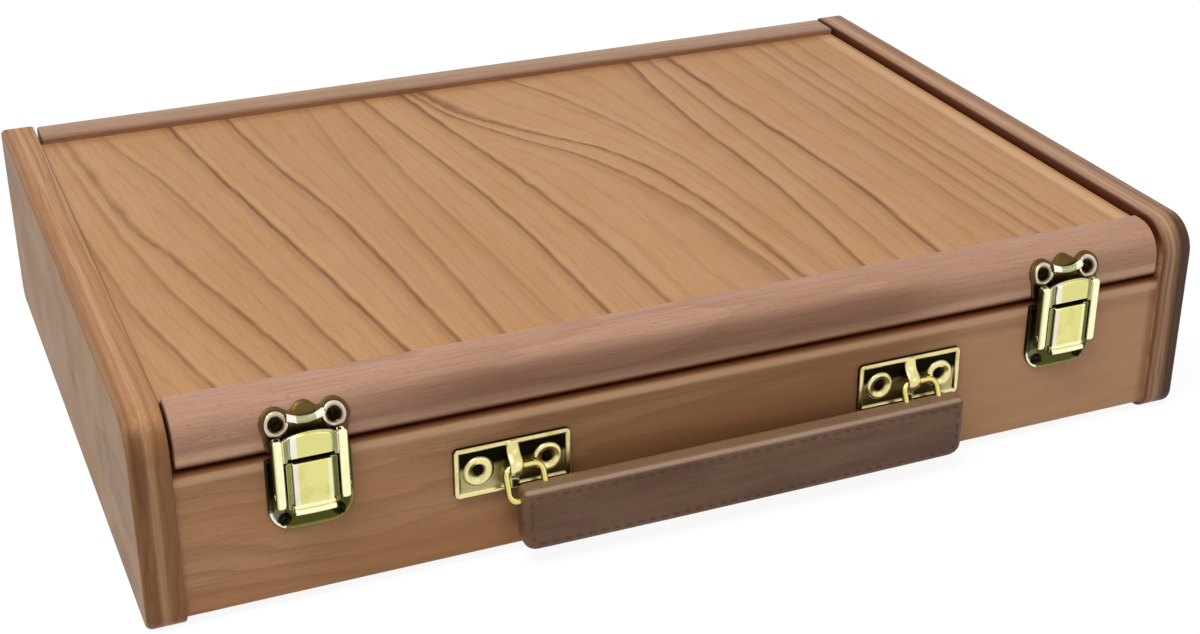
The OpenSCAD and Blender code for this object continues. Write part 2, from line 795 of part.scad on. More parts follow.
// Bracket: a rimmed sheet with two nail bosses and the saddle over the ring
module handle_bracket(side) {
    x = handle_x + side * bracket_x;
    w = bracket_w / 2;
    h = bracket_h / 2;
    r = 2 * rail_edge_r;
    foot = saddle_t + wire_r + r;
    difference() {
        union() {
            on_front(x, handle_z) linear_extrude(bracket_t) rounded_rect(-w, -h, w, h, [r, r, r, r]);
            on_front(x, handle_z) linear_extrude(bracket_t + rim_h) difference() {
                rounded_rect(-w, -h, w, h, [r, r, r, r]);
                square_at(-w + rim_w, -h + rim_w, w - rim_w, h - rim_w);
            }
            bar_x(x - saddle_w / 2, x + saddle_w / 2, front_face - handle_out, handle_z, wire_r + saddle_t);
            block([x - saddle_w / 2, front_face - handle_out, handle_z - wire_r - saddle_t],
                  [x + saddle_w / 2, front_face, handle_z + wire_r + saddle_t]);
            block([x - saddle_w / 2, front_face - bracket_t - saddle_t / 2, handle_z - foot],
                  [x + saddle_w / 2, front_face, handle_z + foot]);
        }
        bar_x(x - bracket_w, x + bracket_w, front_face - handle_out, handle_z, wire_r + fit_gap);
        nail_places() screw_hole();
    }
}

module left_handle_bracket() { color(brass) handle_bracket(-1); }
module right_handle_bracket() { color(brass) handle_bracket(1); }

// Round headed nails
module bracket_nails() {
    color(brass_dark) nail_places() {
        cylinder(r1 = head_r, r2 = head_r / 2, h = head_h);
        translate([0, 0, -shank_l]) cylinder(r = shank_r, h = shank_l + head_h / 4);
    }
}

left_end_board();
right_end_board();
front_board();
back_board();
bottom_panel();
trough_divider();
compartment_dividers();
lid_front_rail();
lid_back_rail();
lid_left_rail();
lid_right_rail();
lid_panel();
palette();
left_turn_button();
right_turn_button();
turn_button_screws();
left_hinge_base_leaf();
left_hinge_lid_leaf();
left_hinge_pin();
right_hinge_base_leaf();
right_hinge_lid_leaf();
right_hinge_pin();
hinge_base_screws();
hinge_lid_screws();
left_catch_plate();
left_catch_pin();
left_catch_lever();
left_catch_bail();
left_catch_bail_pins();
left_catch_keeper();
right_catch_plate();
right_catch_pin();
right_catch_lever();
right_catch_bail();
right_catch_bail_pins();
right_catch_keeper();
catch_plate_screws();
keeper_screws();
handle_grip();
left_handle_ring();
right_handle_ring();
left_handle_bracket();
right_handle_bracket();
bracket_nails();
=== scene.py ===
import math

import bmesh
import bpy
from mathutils import Matrix, Vector, noise


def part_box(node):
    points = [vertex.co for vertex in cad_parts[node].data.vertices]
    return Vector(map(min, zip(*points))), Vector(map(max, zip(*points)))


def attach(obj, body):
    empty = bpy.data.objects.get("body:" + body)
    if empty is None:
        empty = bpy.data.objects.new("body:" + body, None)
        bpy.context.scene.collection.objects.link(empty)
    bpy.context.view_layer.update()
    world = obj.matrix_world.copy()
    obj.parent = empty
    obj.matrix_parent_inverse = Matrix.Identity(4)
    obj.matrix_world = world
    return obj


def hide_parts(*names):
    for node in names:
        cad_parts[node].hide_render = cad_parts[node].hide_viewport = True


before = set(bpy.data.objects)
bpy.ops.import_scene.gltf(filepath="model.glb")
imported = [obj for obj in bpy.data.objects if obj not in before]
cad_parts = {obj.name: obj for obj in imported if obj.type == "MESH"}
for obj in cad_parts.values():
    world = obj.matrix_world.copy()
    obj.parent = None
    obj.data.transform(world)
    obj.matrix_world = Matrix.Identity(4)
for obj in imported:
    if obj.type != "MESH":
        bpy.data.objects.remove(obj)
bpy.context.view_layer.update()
print("frame loaded:", len(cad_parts), "nodes")


# shapes are worked out in millimetres and turned into metres when the mesh is made
def boxMm(node):
    low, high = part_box(node)
    return [c * 1000 for c in low], [c * 1000 for c in high]


def makeMesh(name, verts, faces):
    mesh = bpy.data.meshes.new(name)
    mesh.from_pydata([(x / 1000, y / 1000, z / 1000) for x, y, z in verts], [], faces)
    work = bmesh.new()
    work.from_mesh(mesh)
    bmesh.ops.recalc_face_normals(work, faces=work.faces)
    work.to_mesh(mesh)
    work.free()
    mesh.polygons.foreach_set("use_smooth", [True] * len(mesh.polygons))
    obj = bpy.data.objects.new(name, mesh)
    bpy.context.scene.collection.objects.link(obj)
    return obj


def flattenFaces(obj):
    # keeps big faces flat while the rounded edges stay smooth
    weighted = obj.modifiers.new("flat faces", "WEIGHTED_NORMAL")
    weighted.weight = 100
    weighted.keep_sharp = False


def roundEdges(obj, width, segments=3, angle=35):
    bevel = obj.modifiers.new("rounded edges", "BEVEL")
    bevel.width = width / 1000
    bevel.segments = segments
    bevel.limit_method = "ANGLE"
    bevel.angle_limit = math.radians(angle)
    bevel.use_clamp_overlap = True
    flattenFaces(obj)


def movedPart(part, place):
    verts, faces = part
    return [place(*v) for v in verts], faces


def joined(*parts):
    verts, faces = [], []
    for partVerts, partFaces in parts:
        start = len(verts)
        verts += partVerts
        faces += [tuple(start + i for i in face) for face in partFaces]
    return verts, faces


def cornerRing(x0, y0, x1, y1, radii, steps=6):
    # a rectangle with rounded corners, as a function of how far it is drawn in
    def ring(inset=0.0):
        points = []
        corners = ((x0, y0, 1, 1, 180), (x1, y0, -1, 1, 270), (x1, y1, -1, -1, 0), (x0, y1, 1, -1, 90))
        for (cx, cy, sx, sy, start), radius in zip(corners, radii):
            r = max(radius - inset, 0.04)
            mx, my = cx + sx * (inset + r), cy + sy * (inset + r)
            for i in range(steps + 1):
                a = math.radians(start + 90 * i / steps)
                points.append((mx + r * math.cos(a), my + r * math.sin(a)))
        return points
    return ring


def outlineRing(points):
    # any closed outline, drawn in along its own corner directions
    def ring(inset=0.0):
        moved = []
        n = len(points)
        area = sum(points[i][0] * points[(i + 1) % n][1] - points[(i + 1) % n][0] * points[i][1] for i in range(n))
        turn = 1 if area > 0 else -1
        for i, (x, y) in enumerate(points):
            (ax, ay), (bx, by) = points[i - 1], points[(i + 1) % n]
            tangent = Vector((bx - ax, by - ay))
            tangent.normalize()
            moved.append((x - turn * tangent.y * inset, y + turn * tangent.x * inset))
        return moved
    return ring


def loftedPlate(ring, levels):
    verts, faces, count = [], [], 0
    for inset, level in levels:
        points = ring(inset)
        count = len(points)
        verts += [(a, b, level) for a, b in points]
    for k in range(len(levels) - 1):
        for i in range(count):
            j = (i + 1) % count
            faces.append((k * count + i, k * count + j, (k + 1) * count + j, (k + 1) * count + i))
    last = (len(levels) - 1) * count
    faces.append(tuple(reversed(range(count))))
    faces.append(tuple(range(last, last + count)))
    return verts, faces


def roundedLevels(low, high, lowRadius, highRadius, steps=4):
    # a plate's thickness from low to high, with its two edges rounded
    levels = []
    for i in range(steps + 1):
        a = math.pi / 2 * i / steps
        levels.append((lowRadius * (1 - math.sin(a)), low + lowRadius * (1 - math.cos(a))))
    for i in range(steps + 1):
        a = math.pi / 2 * i / steps
        levels.append((highRadius * (1 - math.cos(a)), high - highRadius * (1 - math.sin(a))))
    return levels


def turned(profile, steps=28):
    # a profile of (radius, height) turned about the third axis, closed at both ends
    verts, faces = [], []
    for radius, height in profile:
        for i in range(steps):
            a = 2 * math.pi * i / steps
            verts.append((radius * math.cos(a), radius * math.sin(a), height))
    for k in range(len(profile) - 1):
        for i in range(steps):
            j = (i + 1) % steps
            faces.append((k * steps + i, k * steps + j, (k + 1) * steps + j, (k + 1) * steps + i))
    last = (len(profile) - 1) * steps
    faces.append(tuple(reversed(range(steps))))
    faces.append(tuple(range(last, last + steps)))
    return verts, faces


def wireLoop(points, radius, steps=14, closed=True):
    # a round wire along a path
    verts, faces = [], []
    count = len(points)
    for i, point in enumerate(points):
        before = points[i - 1] if closed or i else point
        after = points[(i + 1) % count] if closed or i < count - 1 else point
        along = (Vector(after) - Vector(before)).normalized()
        side = along.cross(Vector((0.31, 0.94, 0.13))).normalized()
        up = side.cross(along)
        for k in range(steps):
            a = 2 * math.pi * k / steps
            offset = radius * (math.cos(a) * side + math.sin(a) * up)
            verts.append(tuple(Vector(point) + offset))
    for i in range(count if closed else count - 1):
        n = (i + 1) % count
        for k in range(steps):
            m = (k + 1) % steps
            faces.append((i * steps + k, i * steps + m, n * steps + m, n * steps + k))
    if not closed:
        faces.append(tuple(range(steps)))
        faces.append(tuple(range((count - 1) * steps, count * steps)))
    return verts, faces


def alongX(a, b, level):
    return level, a, b


def inPlace(obj, body, slotName, material, *nodes):
    obj.data.materials.clear()
    obj.data.materials.append(material)
    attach(obj, body)
    if nodes:
        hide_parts(*nodes)
    return obj


def dressNode(node, material, edge=0.0):
    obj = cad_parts[node]
    obj.data.materials.clear()
    obj.data.materials.append(material)
    if edge:
        roundEdges(obj, edge, segments=2, angle=50)


# node building, for the groups and the materials
def paint(red, green, blue):
    # a colour given as it looks on a screen, 0 to 255
    return tuple(c / 255 / 12.92 if c <= 10.3 else ((c / 255 + 0.055) / 1.055) ** 2.4 for c in (red, green, blue)) + (1,)


def addNode(tree, kind, **settings):
    node = tree.nodes.new(kind)
    for key, value in settings.items():
        setattr(node, key, value)
    return node


def feed(tree, socket, value):
    if isinstance(value, bpy.types.NodeSocket):
        tree.links.new(value, socket)
    else:
        socket.default_value = value


def calc(tree, operation, first, second=0.5, third=None, clamp=False):
    node = addNode(tree, "ShaderNodeMath", operation=operation, use_clamp=clamp)
    feed(tree, node.inputs[0], first)
    feed(tree, node.inputs[1], second)
    if third is not None:
        feed(tree, node.inputs[2], third)
    return node.outputs[0]


def vectorCalc(tree, operation, first, second, output=0):
    node = addNode(tree, "ShaderNodeVectorMath", operation=operation)
    feed(tree, node.inputs[0], first)
    feed(tree, node.inputs[1], second)
    return node.outputs[output]


def ramp(tree, value, low, high, outLow=0.0, outHigh=1.0, smooth=True):
    node = addNode(tree, "ShaderNodeMapRange", interpolation_type="SMOOTHSTEP" if smooth else "LINEAR", clamp=True)
    feed(tree, node.inputs["Value"], value)
    for key, number in (("From Min", low), ("From Max", high), ("To Min", outLow), ("To Max", outHigh)):
        feed(tree, node.inputs[key], number)
    return node.outputs["Result"]


def mixColour(tree, share, first, second, blend="MIX"):
    node = addNode(tree, "ShaderNodeMix", data_type="RGBA", blend_type=blend, clamp_factor=True)
    feed(tree, node.inputs[0], share)
    feed(tree, node.inputs[6], first)
    feed(tree, node.inputs[7], second)
    return node.outputs[2]


def noiseAt(tree, vector, scale, detail=2.0, rough=0.5, distortion=0.0):
    node = addNode(tree, "ShaderNodeTexNoise")
    feed(tree, node.inputs["Vector"], vector)
    feed(tree, node.inputs["Scale"], scale)
    feed(tree, node.inputs["Detail"], detail)
    feed(tree, node.inputs["Roughness"], rough)
    feed(tree, node.inputs["Distortion"], distortion)
    return node.outputs["Fac"]


def newGroup(name, inputs, outputs):
    tree = bpy.data.node_groups.new(name, "ShaderNodeTree")
    for label, kind, value in inputs:
        socket = tree.interface.new_socket(name=label, in_out="INPUT", socket_type=kind)
        if value is not None:
            socket.default_value = value
    for label, kind in outputs:
        tree.interface.new_socket(name=label, in_out="OUTPUT", socket_type=kind)
    start, end = addNode(tree, "NodeGroupInput"), addNode(tree, "NodeGroupOutput")
    return tree, start.outputs, end.inputs


def useGroup(tree, group, **values):
    node = addNode(tree, "ShaderNodeGroup", node_tree=group)
    for label, value in values.items():
        feed(tree, node.inputs[label.replace("_", " ")], value)
    return node.outputs


# timber: growth rings about a heart line, fine fibres, ray flecks and a slow change of tone.
# the first axis of Place runs along the grain
timberGrain, given, made = newGroup("timber grain", [
    ("Place", "NodeSocketVector", None), ("Heart", "NodeSocketVector", (0.0, 20.0, -60.0)),
    ("Ring width", "NodeSocketFloat", 9.0), ("Wander", "NodeSocketFloat", 1.0)],
    [("Rings", "NodeSocketFloat"), ("Fibres", "NodeSocketFloat"), ("Flecks", "NodeSocketFloat"),
     ("Tone", "NodeSocketFloat")])
tree = timberGrain
inMm = vectorCalc(tree, "SCALE", given["Place"], (0, 0, 0))
inMm.node.inputs["Scale"].default_value = 1000
longWander = noiseAt(tree, vectorCalc(tree, "MULTIPLY", inMm, (0.006, 0.03, 0.03)), 1.0, 3.0, 0.5)
fineWander = noiseAt(tree, vectorCalc(tree, "MULTIPLY", inMm, (0.03, 0.25, 0.25)), 1.0, 2.0, 0.5)
fromHeart = vectorCalc(tree, "MULTIPLY", vectorCalc(tree, "SUBTRACT", inMm, given["Heart"]), (0, 1, 1))
distance = vectorCalc(tree, "LENGTH", fromHeart, (0, 0, 0), output=1)
ringCount = calc(tree, "DIVIDE", distance, given["Ring width"])
ringCount = calc(tree, "ADD", ringCount, calc(tree, "MULTIPLY", longWander, calc(tree, "MULTIPLY", given["Wander"], 5.0)))
ringCount = calc(tree, "ADD", ringCount, calc(tree, "MULTIPLY", fineWander, 0.45))
share = calc(tree, "FRACT", ringCount)
late = calc(tree, "MULTIPLY", ramp(tree, share, 0.35, 0.93), ramp(tree, share, 1.0, 0.94))
feed(tree, made["Rings"], late)
fibre = noiseAt(tree, vectorCalc(tree, "MULTIPLY", inMm, (0.035, 1.6, 1.6)), 1.0, 3.0, 0.65)
feed(tree, made["Fibres"], fibre)
fleck = noiseAt(tree, vectorCalc(tree, "MULTIPLY", inMm, (0.45, 2.1, 2.1)), 1.0, 1.0, 0.5)
feed(tree, made["Flecks"], ramp(tree, fleck, 0.6, 0.74))
feed(tree, made["Tone"], noiseAt(tree, vectorCalc(tree, "MULTIPLY", inMm, (0.004, 0.022, 0.022)), 1.0, 2.0, 0.5))

# rubbed edges, found by rounding the surface's normal a little
rubbedEdges, given, made = newGroup("rubbed edges", [("Reach", "NodeSocketFloat", 0.0012)],
                                    [("Edge", "NodeSocketFloat")])
tree = rubbedEdges
softNormal = addNode(tree, "ShaderNodeBevel", samples=4)
feed(tree, softNormal.inputs["Radius"], given["Reach"])
trueNormal = addNode(tree, "ShaderNodeNewGeometry").outputs["Normal"]
agree = vectorCalc(tree, "DOT_PRODUCT", softNormal.outputs["Normal"], trueNormal, output=1)
feed(tree, made["Edge"], ramp(tree, agree, 0.985, 0.86))

# handling marks: broad smudges and fine scuffs that change the gloss
handlingMarks, given, made = newGroup("handling marks", [("Place", "NodeSocketVector", None)],
                                      [("Smudge", "NodeSocketFloat"), ("Scuff", "NodeSocketFloat")])
tree = handlingMarks
feed(tree, made["Smudge"], ramp(tree, noiseAt(tree, given["Place"], 28.0, 4.0, 0.6, 0.4), 0.35, 0.7))
feed(tree, made["Scuff"], ramp(tree, noiseAt(tree, vectorCalc(tree, "MULTIPLY", given["Place"], (1, 3, 2)), 420.0, 2.0, 0.7), 0.5, 0.75))

# metal skin: cloudy tarnish, and masks for painted shade low on the metal near the wood, in its recesses and on faces
# turned sideways or down
metalSkin, given, made = newGroup("metal skin", [
    ("Place", "NodeSocketVector", None), ("Facing", "NodeSocketVector", None),
    ("Wood face", "NodeSocketFloat", -0.1382), ("Dark reach", "NodeSocketFloat", 0.003),
    ("Recess reach", "NodeSocketFloat", 0.0025)],
    [("Tarnish", "NodeSocketFloat"), ("Foot", "NodeSocketFloat"), ("Turned away", "NodeSocketFloat"),
     ("Recess", "NodeSocketFloat"), ("Grain", "NodeSocketFloat")])
tree = metalSkin
cloud = noiseAt(tree, given["Place"], 160.0, 4.0, 0.6, 0.3)
feed(tree, made["Tarnish"], ramp(tree, cloud, 0.42, 0.72))
across = addNode(tree, "ShaderNodeSeparateXYZ")
feed(tree, across.inputs[0], given["Place"])
standsOut = calc(tree, "ABSOLUTE", calc(tree, "SUBTRACT", across.outputs[1], given["Wood face"]))
feed(tree, made["Foot"], ramp(tree, calc(tree, "DIVIDE", standsOut, given["Dark reach"]), 1.0, 0.62))
facing = addNode(tree, "ShaderNodeSeparateXYZ")
feed(tree, facing.inputs[0], given["Facing"])
sideways = ramp(tree, calc(tree, "ABSOLUTE", facing.outputs[0]), 0.5, 0.92)
downwards = ramp(tree, calc(tree, "MULTIPLY", facing.outputs[2], -1.0), 0.45, 0.9)
feed(tree, made["Turned away"], calc(tree, "MAXIMUM", sideways, downwards))
hollow = addNode(tree, "ShaderNodeAmbientOcclusion", samples=8)
feed(tree, hollow.inputs["Distance"], given["Recess reach"])
feed(tree, made["Recess"], ramp(tree, hollow.outputs["AO"], 0.72, 0.3))
feed(tree, made["Grain"], noiseAt(tree, vectorCalc(tree, "MULTIPLY", given["Place"], (1, 1, 0.08)), 2600.0, 1.0, 0.5))

# hide: pebbles with creases between them
hidePebble, given, made = newGroup("hide pebble", [
    ("Place", "NodeSocketVector", None), ("Pebble size", "NodeSocketFloat", 1.1)],
    [("Height", "NodeSocketFloat"), ("Crease", "NodeSocketFloat"), ("Cloud", "NodeSocketFloat")])
tree = hidePebble
perMetre = calc(tree, "DIVIDE", 1000.0, given["Pebble size"])
cells = addNode(tree, "ShaderNodeTexVoronoi", feature="SMOOTH_F1")
feed(tree, cells.inputs["Vector"], given["Place"])
feed(tree, cells.inputs["Scale"], perMetre)
cells.inputs["Smoothness"].default_value = 0.35
feed(tree, made["Height"], ramp(tree, cells.outputs["Distance"], 0.75, 0.05))
feed(tree, made["Crease"], ramp(tree, cells.outputs["Distance"], 0.45, 0.8))
feed(tree, made["Cloud"], noiseAt(tree, vectorCalc(tree, "MULTIPLY", given["Place"], (0.22, 1.6, 1.6)), 70.0, 4.0, 0.6))


def newMaterial(name):
    material = bpy.data.materials.new(name)
    material.use_nodes = True
    tree = material.node_tree
    shader = tree.nodes["Principled BSDF"]
    place = addNode(tree, "ShaderNodeTexCoord")
    return material, tree, shader, place


def bumped(tree, shader, height, depth, strength=1.0):
    bump = addNode(tree, "ShaderNodeBump")
    feed(tree, bump.inputs["Strength"], strength)
    feed(tree, bump.inputs["Distance"], depth)
    feed(tree, bump.inputs["Height"], height)
    tree.links.new(bump.outputs["Normal"], shader.inputs["Normal"])


def alongGrain(tree, place, axis):
    # puts the grain's axis first
    parts = addNode(tree, "ShaderNodeSeparateXYZ")
    feed(tree, parts.inputs[0], place)
    order = {"X": (0, 1, 2), "Y": (1, 0, 2), "Z": (2, 0, 1)}[axis]
    whole = addNode(tree, "ShaderNodeCombineXYZ")
    for i, k in enumerate(order):
        tree.links.new(parts.outputs[k], whole.inputs[i])
    return whole.outputs[0], order[0]


def makeWood(name, look):
    material, tree, shader, place = newMaterial(name)
    grainPlace, axis = alongGrain(tree, place.outputs["Object"], look["along"])
    grain = useGroup(tree, timberGrain, Place=grainPlace, Heart=look["heart"], Ring_width=look["ringWidth"],
                     Wander=look["wander"])
    colour = mixColour(tree, calc(tree, "MULTIPLY", grain["Rings"], look["rings"]), look["light"], look["dark"])
    colour = mixColour(tree, ramp(tree, grain["Fibres"], 0.38, 0.72, 0.0, look["fibres"]), colour, look["dark"])
    colour = mixColour(tree, calc(tree, "MULTIPLY", grain["Flecks"], look["flecks"]), colour, look["deep"])
    colour = mixColour(tree, ramp(tree, grain["Tone"], 0.35, 0.65, 0.0, look["tone"]), colour, look["warm"])
    # cut ends of the fibres are darker
    facing = addNode(tree, "ShaderNodeSeparateXYZ")
    tree.links.new(place.outputs["Normal"], facing.inputs[0])
    ends = ramp(tree, calc(tree, "ABSOLUTE", facing.outputs[axis]), 0.45, 0.95, 0.0, look["ends"])
    colour = mixColour(tree, ends, colour, look["deep"])
    edge = useGroup(tree, rubbedEdges, Reach=0.0011)["Edge"]
    marks = useGroup(tree, handlingMarks, Place=place.outputs["Object"])
    worn = calc(tree, "MULTIPLY", edge, ramp(tree, grain["Tone"], 0.3, 0.7, look["wear"] * 0.4, look["wear"]))
    colour = mixColour(tree, worn, colour, look["worn"])
    for shadeIt in look.get("shades", ()):
        colour = shadeIt(tree, place, colour)
    tree.links.new(colour, shader.inputs["Base Color"])
    rough = calc(tree, "ADD", look["rough"], calc(tree, "MULTIPLY", marks["Smudge"], 0.1))
    rough = calc(tree, "ADD", rough, calc(tree, "MULTIPLY", marks["Scuff"], 0.06))
    tree.links.new(rough, shader.inputs["Roughness"])
    shader.inputs["Specular IOR Level"].default_value = 0.22
    height = calc(tree, "ADD", calc(tree, "MULTIPLY", grain["Fibres"], -0.5),
                  calc(tree, "MULTIPLY", grain["Flecks"], -0.6))
    bumped(tree, shader, height, 0.0001, 0.8)
    return material


woodLook = {
    "along": "X", "heart": (0.0, 40.0, -90.0), "ringWidth": 7.0, "wander": 1.0,
    "light": paint(200, 149, 106), "dark": paint(146, 100, 64), "deep": paint(104, 66, 38),
    "warm": paint(186, 122, 78), "worn": paint(216, 168, 122),
    "rings": 0.5, "fibres": 0.55, "flecks": 0.35, "tone": 0.55, "ends": 0.35, "wear": 0.5, "rough": 0.42,
}


def spanMask(tree, place, spans, mask):
    # limits a mask along one or more axes, in millimetres: none at the outer two places, full at the inner two
    parts = addNode(tree, "ShaderNodeSeparateXYZ")
    tree.links.new(place.outputs["Object"], parts.inputs[0])
    for axis, (clearLow, fullLow, fullHigh, clearHigh) in spans.items():
        mask = calc(tree, "MULTIPLY", ramp(tree, parts.outputs[axis], clearLow / 1000, fullLow / 1000), mask)
        mask = calc(tree, "MULTIPLY", ramp(tree, parts.outputs[axis], clearHigh / 1000, fullHigh / 1000), mask)
    return mask


def facingShade(axis, sign, low, high, share, tint, spans=None, blend="MIX"):
    # tints the faces that point one way
    def shade(tree, place, colour):
        facing = addNode(tree, "ShaderNodeSeparateXYZ")
        tree.links.new(place.outputs["Normal"], facing.inputs[0])
        mask = ramp(tree, calc(tree, "MULTIPLY", facing.outputs[axis], sign), low, high)
        mask = spanMask(tree, place, spans or {}, calc(tree, "MULTIPLY", mask, share))
        return mixColour(tree, mask, colour, tint, blend)
    return shade


def levelShade(axis, clear, full, share, tint):
    # a tint that grows along one axis between two places, broken up a little
    def shade(tree, place, colour):
        parts = addNode(tree, "ShaderNodeSeparateXYZ")
        tree.links.new(place.outputs["Object"], parts.inputs[0])
        uneven = noiseAt(tree, vectorCalc(tree, "MULTIPLY", place.outputs["Object"], (14, 60, 60)), 1.0, 3.0, 0.6)
        reach = calc(tree, "MULTIPLY", calc(tree, "SUBTRACT", uneven, 0.5), full - clear)
        mask = ramp(tree, calc(tree, "ADD", parts.outputs[axis], reach), clear, full)
        return mixColour(tree, calc(tree, "MULTIPLY", mask, share), colour, tint)
    return shade


def bandShade(spans, share, tint, edgeOnly=False, streaks=0.0):
    # a tint in a band, which can be broken up by streaks along a board
    def shade(tree, place, colour):
        mask = spanMask(tree, place, spans, share)
        if edgeOnly:
            facing = addNode(tree, "ShaderNodeSeparateXYZ")
            tree.links.new(place.outputs["Normal"], facing.inputs[0])
            mask = calc(tree, "MULTIPLY", ramp(tree, calc(tree, "ABSOLUTE", facing.outputs[0]), 0.97, 0.85), mask)
        if streaks:
            streak = noiseAt(tree, vectorCalc(tree, "MULTIPLY", place.outputs["Object"], (620, 9, 9)), 1.0, 3.0, 0.6)
            mask = calc(tree, "MULTIPLY", ramp(tree, streak, 0.36, 0.62, 1.0 - streaks, 1.0), mask)
        return mixColour(tree, mask, colour, tint)
    return shade


def edgeStreaks(share, tint):
    # streaks that run up a board's narrow front edge
    def shade(tree, place, colour):
        facing = addNode(tree, "ShaderNodeSeparateXYZ")
        tree.links.new(place.outputs["Normal"], facing.inputs[0])
        streak = noiseAt(tree, vectorCalc(tree, "MULTIPLY", place.outputs["Object"], (520, 40, 16)), 1.0, 2.0, 0.6)
        mask = calc(tree, "MULTIPLY", ramp(tree, calc(tree, "MULTIPLY", facing.outputs[1], -1.0), 0.5, 0.9),
                    ramp(tree, streak, 0.42, 0.66))
        return mixColour(tree, calc(tree, "MULTIPLY", mask, share), colour, tint)
    return shade


# painted shade for the seam, for the back rail's step and for the gaps where the lid passes the end boards, and a
# colour for darker bands
stepShade = paint(92, 44, 16)
seamShade = paint(108, 56, 26)
darkBandTint = paint(92, 53, 26)
gapShade = paint(84, 36, 10)
passing = {2: (66, 77, 83, 84)}
onFace = {1: (-141, -140, -135, -131)}
onNose = {1: (-141, -140, -129, -125)}
endLook = dict(woodLook, along="Y", ringWidth=3.4, wander=0.5, dark=paint(138, 90, 54), warm=paint(184, 126, 80), rings=0.65,
               ends=0.56)
# the outer face is darkened and yellowed as painted shade, and the inner face near the top carries painted shade in the
# gap where the lid passes
leftEndWood = makeWood("left end wood", dict(
    endLook, heart=(0.0, -640.0, 50.0), light=paint(200, 149, 100),
    shades=[facingShade(0, -1, 0.5, 0.9, 1.0, (0.65, 0.61, 0.35, 1), blend="MULTIPLY"),
            facingShade(0, 1, 0.8, 0.97, 0.9, gapShade, passing),
            edgeStreaks(0.2, paint(92, 54, 32)),
            bandShade({0: (-211, -209.6, -207.2, -205.2)}, 0.4, paint(104, 60, 34), True, 0.5),
            bandShade({0: (-205, -203.5, -202, -200.5)}, 0.35, paint(232, 184, 140), True, 0.9),
            bandShade({0: (-209.4, -207.4, -205.5, -203.5), 1: (-150, -149, -132, -124), 2: (42, 54, 75, 79)}, 0.4,
                      paint(92, 44, 22), True)]))
# painted shade on the inner face in the gap where the lid passes, and painted shade on the rounded outer front edge,
# near black at its front
rightEndWood = makeWood("right end wood", dict(
    endLook, heart=(0.0, 640.0, 50.0), light=paint(194, 150, 114),
    shades=[facingShade(0, -1, 0.4, 0.8, 0.95, gapShade, passing), edgeStreaks(0.35, paint(92, 54, 34)),
            bandShade({0: (195, 195.5, 196.7, 197.8)}, 0.6, paint(88, 44, 26), True),
            bandShade({0: (197, 199.5, 201.5, 204)}, 0.36, paint(230, 188, 158), True, 0.9),
            bandShade({0: (202.4, 205.6, 210, 211)}, 0.6, paint(112, 84, 64), True, 0.5),
            bandShade({0: (203, 205.6, 210, 211), 1: (-150, -149, -133, -124)}, 0.76, paint(42, 22, 12), True, 0.3)]))
# painted shade in the seam on the front of the top face, a painted highlight just below the seam where the top edge
# starts to round, and darker bands in the middle
baseWood = makeWood("base wood", dict(
    woodLook, heart=(0.0, -140.0, -60.0), ringWidth=11.0, rings=0.4, fibres=0.45, tone=0.75, flecks=0.25,
    light=paint(200, 153, 110), dark=paint(144, 99, 64), warm=paint(172, 119, 79),
    shades=[levelShade(2, 0.024, 0.008, 0.5, paint(160, 104, 62)), levelShade(0, 0.03, 0.17, 0.35, paint(224, 180, 142)),
            bandShade({**onFace, 0: (-130, -60, 75, 112), 2: (20, 32, 52, 59)}, 0.42, darkBandTint),
            bandShade({**onFace, 2: (48, 52, 53.5, 55.5)}, 0.2, darkBandTint),
            bandShade({**onFace, 0: (191.5, 194.5, 199, 200)}, 0.4, darkBandTint),
            bandShade({**onFace, 2: (54.4, 56.0, 57.0, 58.2)}, 0.75, paint(210, 170, 136)),
            facingShade(2, 1, 0.12, 0.8, 0.95, seamShade, onFace)]))
railLook = dict(woodLook, heart=(0.0, -60.0, -40.0), rings=0.3, ringWidth=8.0, light=paint(206, 160, 134),
                dark=paint(152, 108, 86), warm=paint(190, 142, 117), flecks=0.3, tone=0.45, fibres=0.5)
# a painted highlight just above the seam where the lower edge rounds, painted shade in the seam on the front of the
# underside, and darker bands on the nose
frontRailWood = makeWood("front rail wood", dict(
    railLook, shades=[bandShade({**onNose, 2: (62.8, 63.8, 65, 67)}, 0.4, paint(226, 186, 150)),
                      bandShade({**onNose, 2: (65.5, 68.5, 72, 78)}, 0.2, darkBandTint),
                      bandShade({**onNose, 0: (-180, -70, 70, 115), 2: (60.5, 65, 73, 78.5)}, 0.55, darkBandTint),
                      facingShade(2, -1, 0.1, 0.6, 0.93, seamShade, onFace)]))
# painted shade on the step face and along the top's front edge, painted shade on the top-back rounding, and the back
# face painted lighter as painted light
backRailWood = makeWood("back rail wood", dict(
    railLook, light=paint(190, 150, 120), dark=paint(138, 96, 66), warm=paint(176, 132, 100),
    shades=[bandShade({1: (136, 143, 149, 150)}, 0.3, paint(208, 180, 156)),
            bandShade({1: (126, 127, 129.5, 133.5)}, 0.34, paint(104, 56, 28)),
            facingShade(1, 1, 0.5, 0.9, 0.5, paint(226, 172, 120)),
            bandShade({1: (144.4, 145.6, 147, 148), 2: (78.5, 80.4, 82, 83)}, 0.6, paint(80, 50, 34)),
            facingShade(1, -1, 0.5, 0.9, 0.12, stepShade)]))
sideRailWood = makeWood("side rail wood", dict(woodLook, along="Y", heart=(0.0, 90.0, 10.0)))
print("wood materials ready")

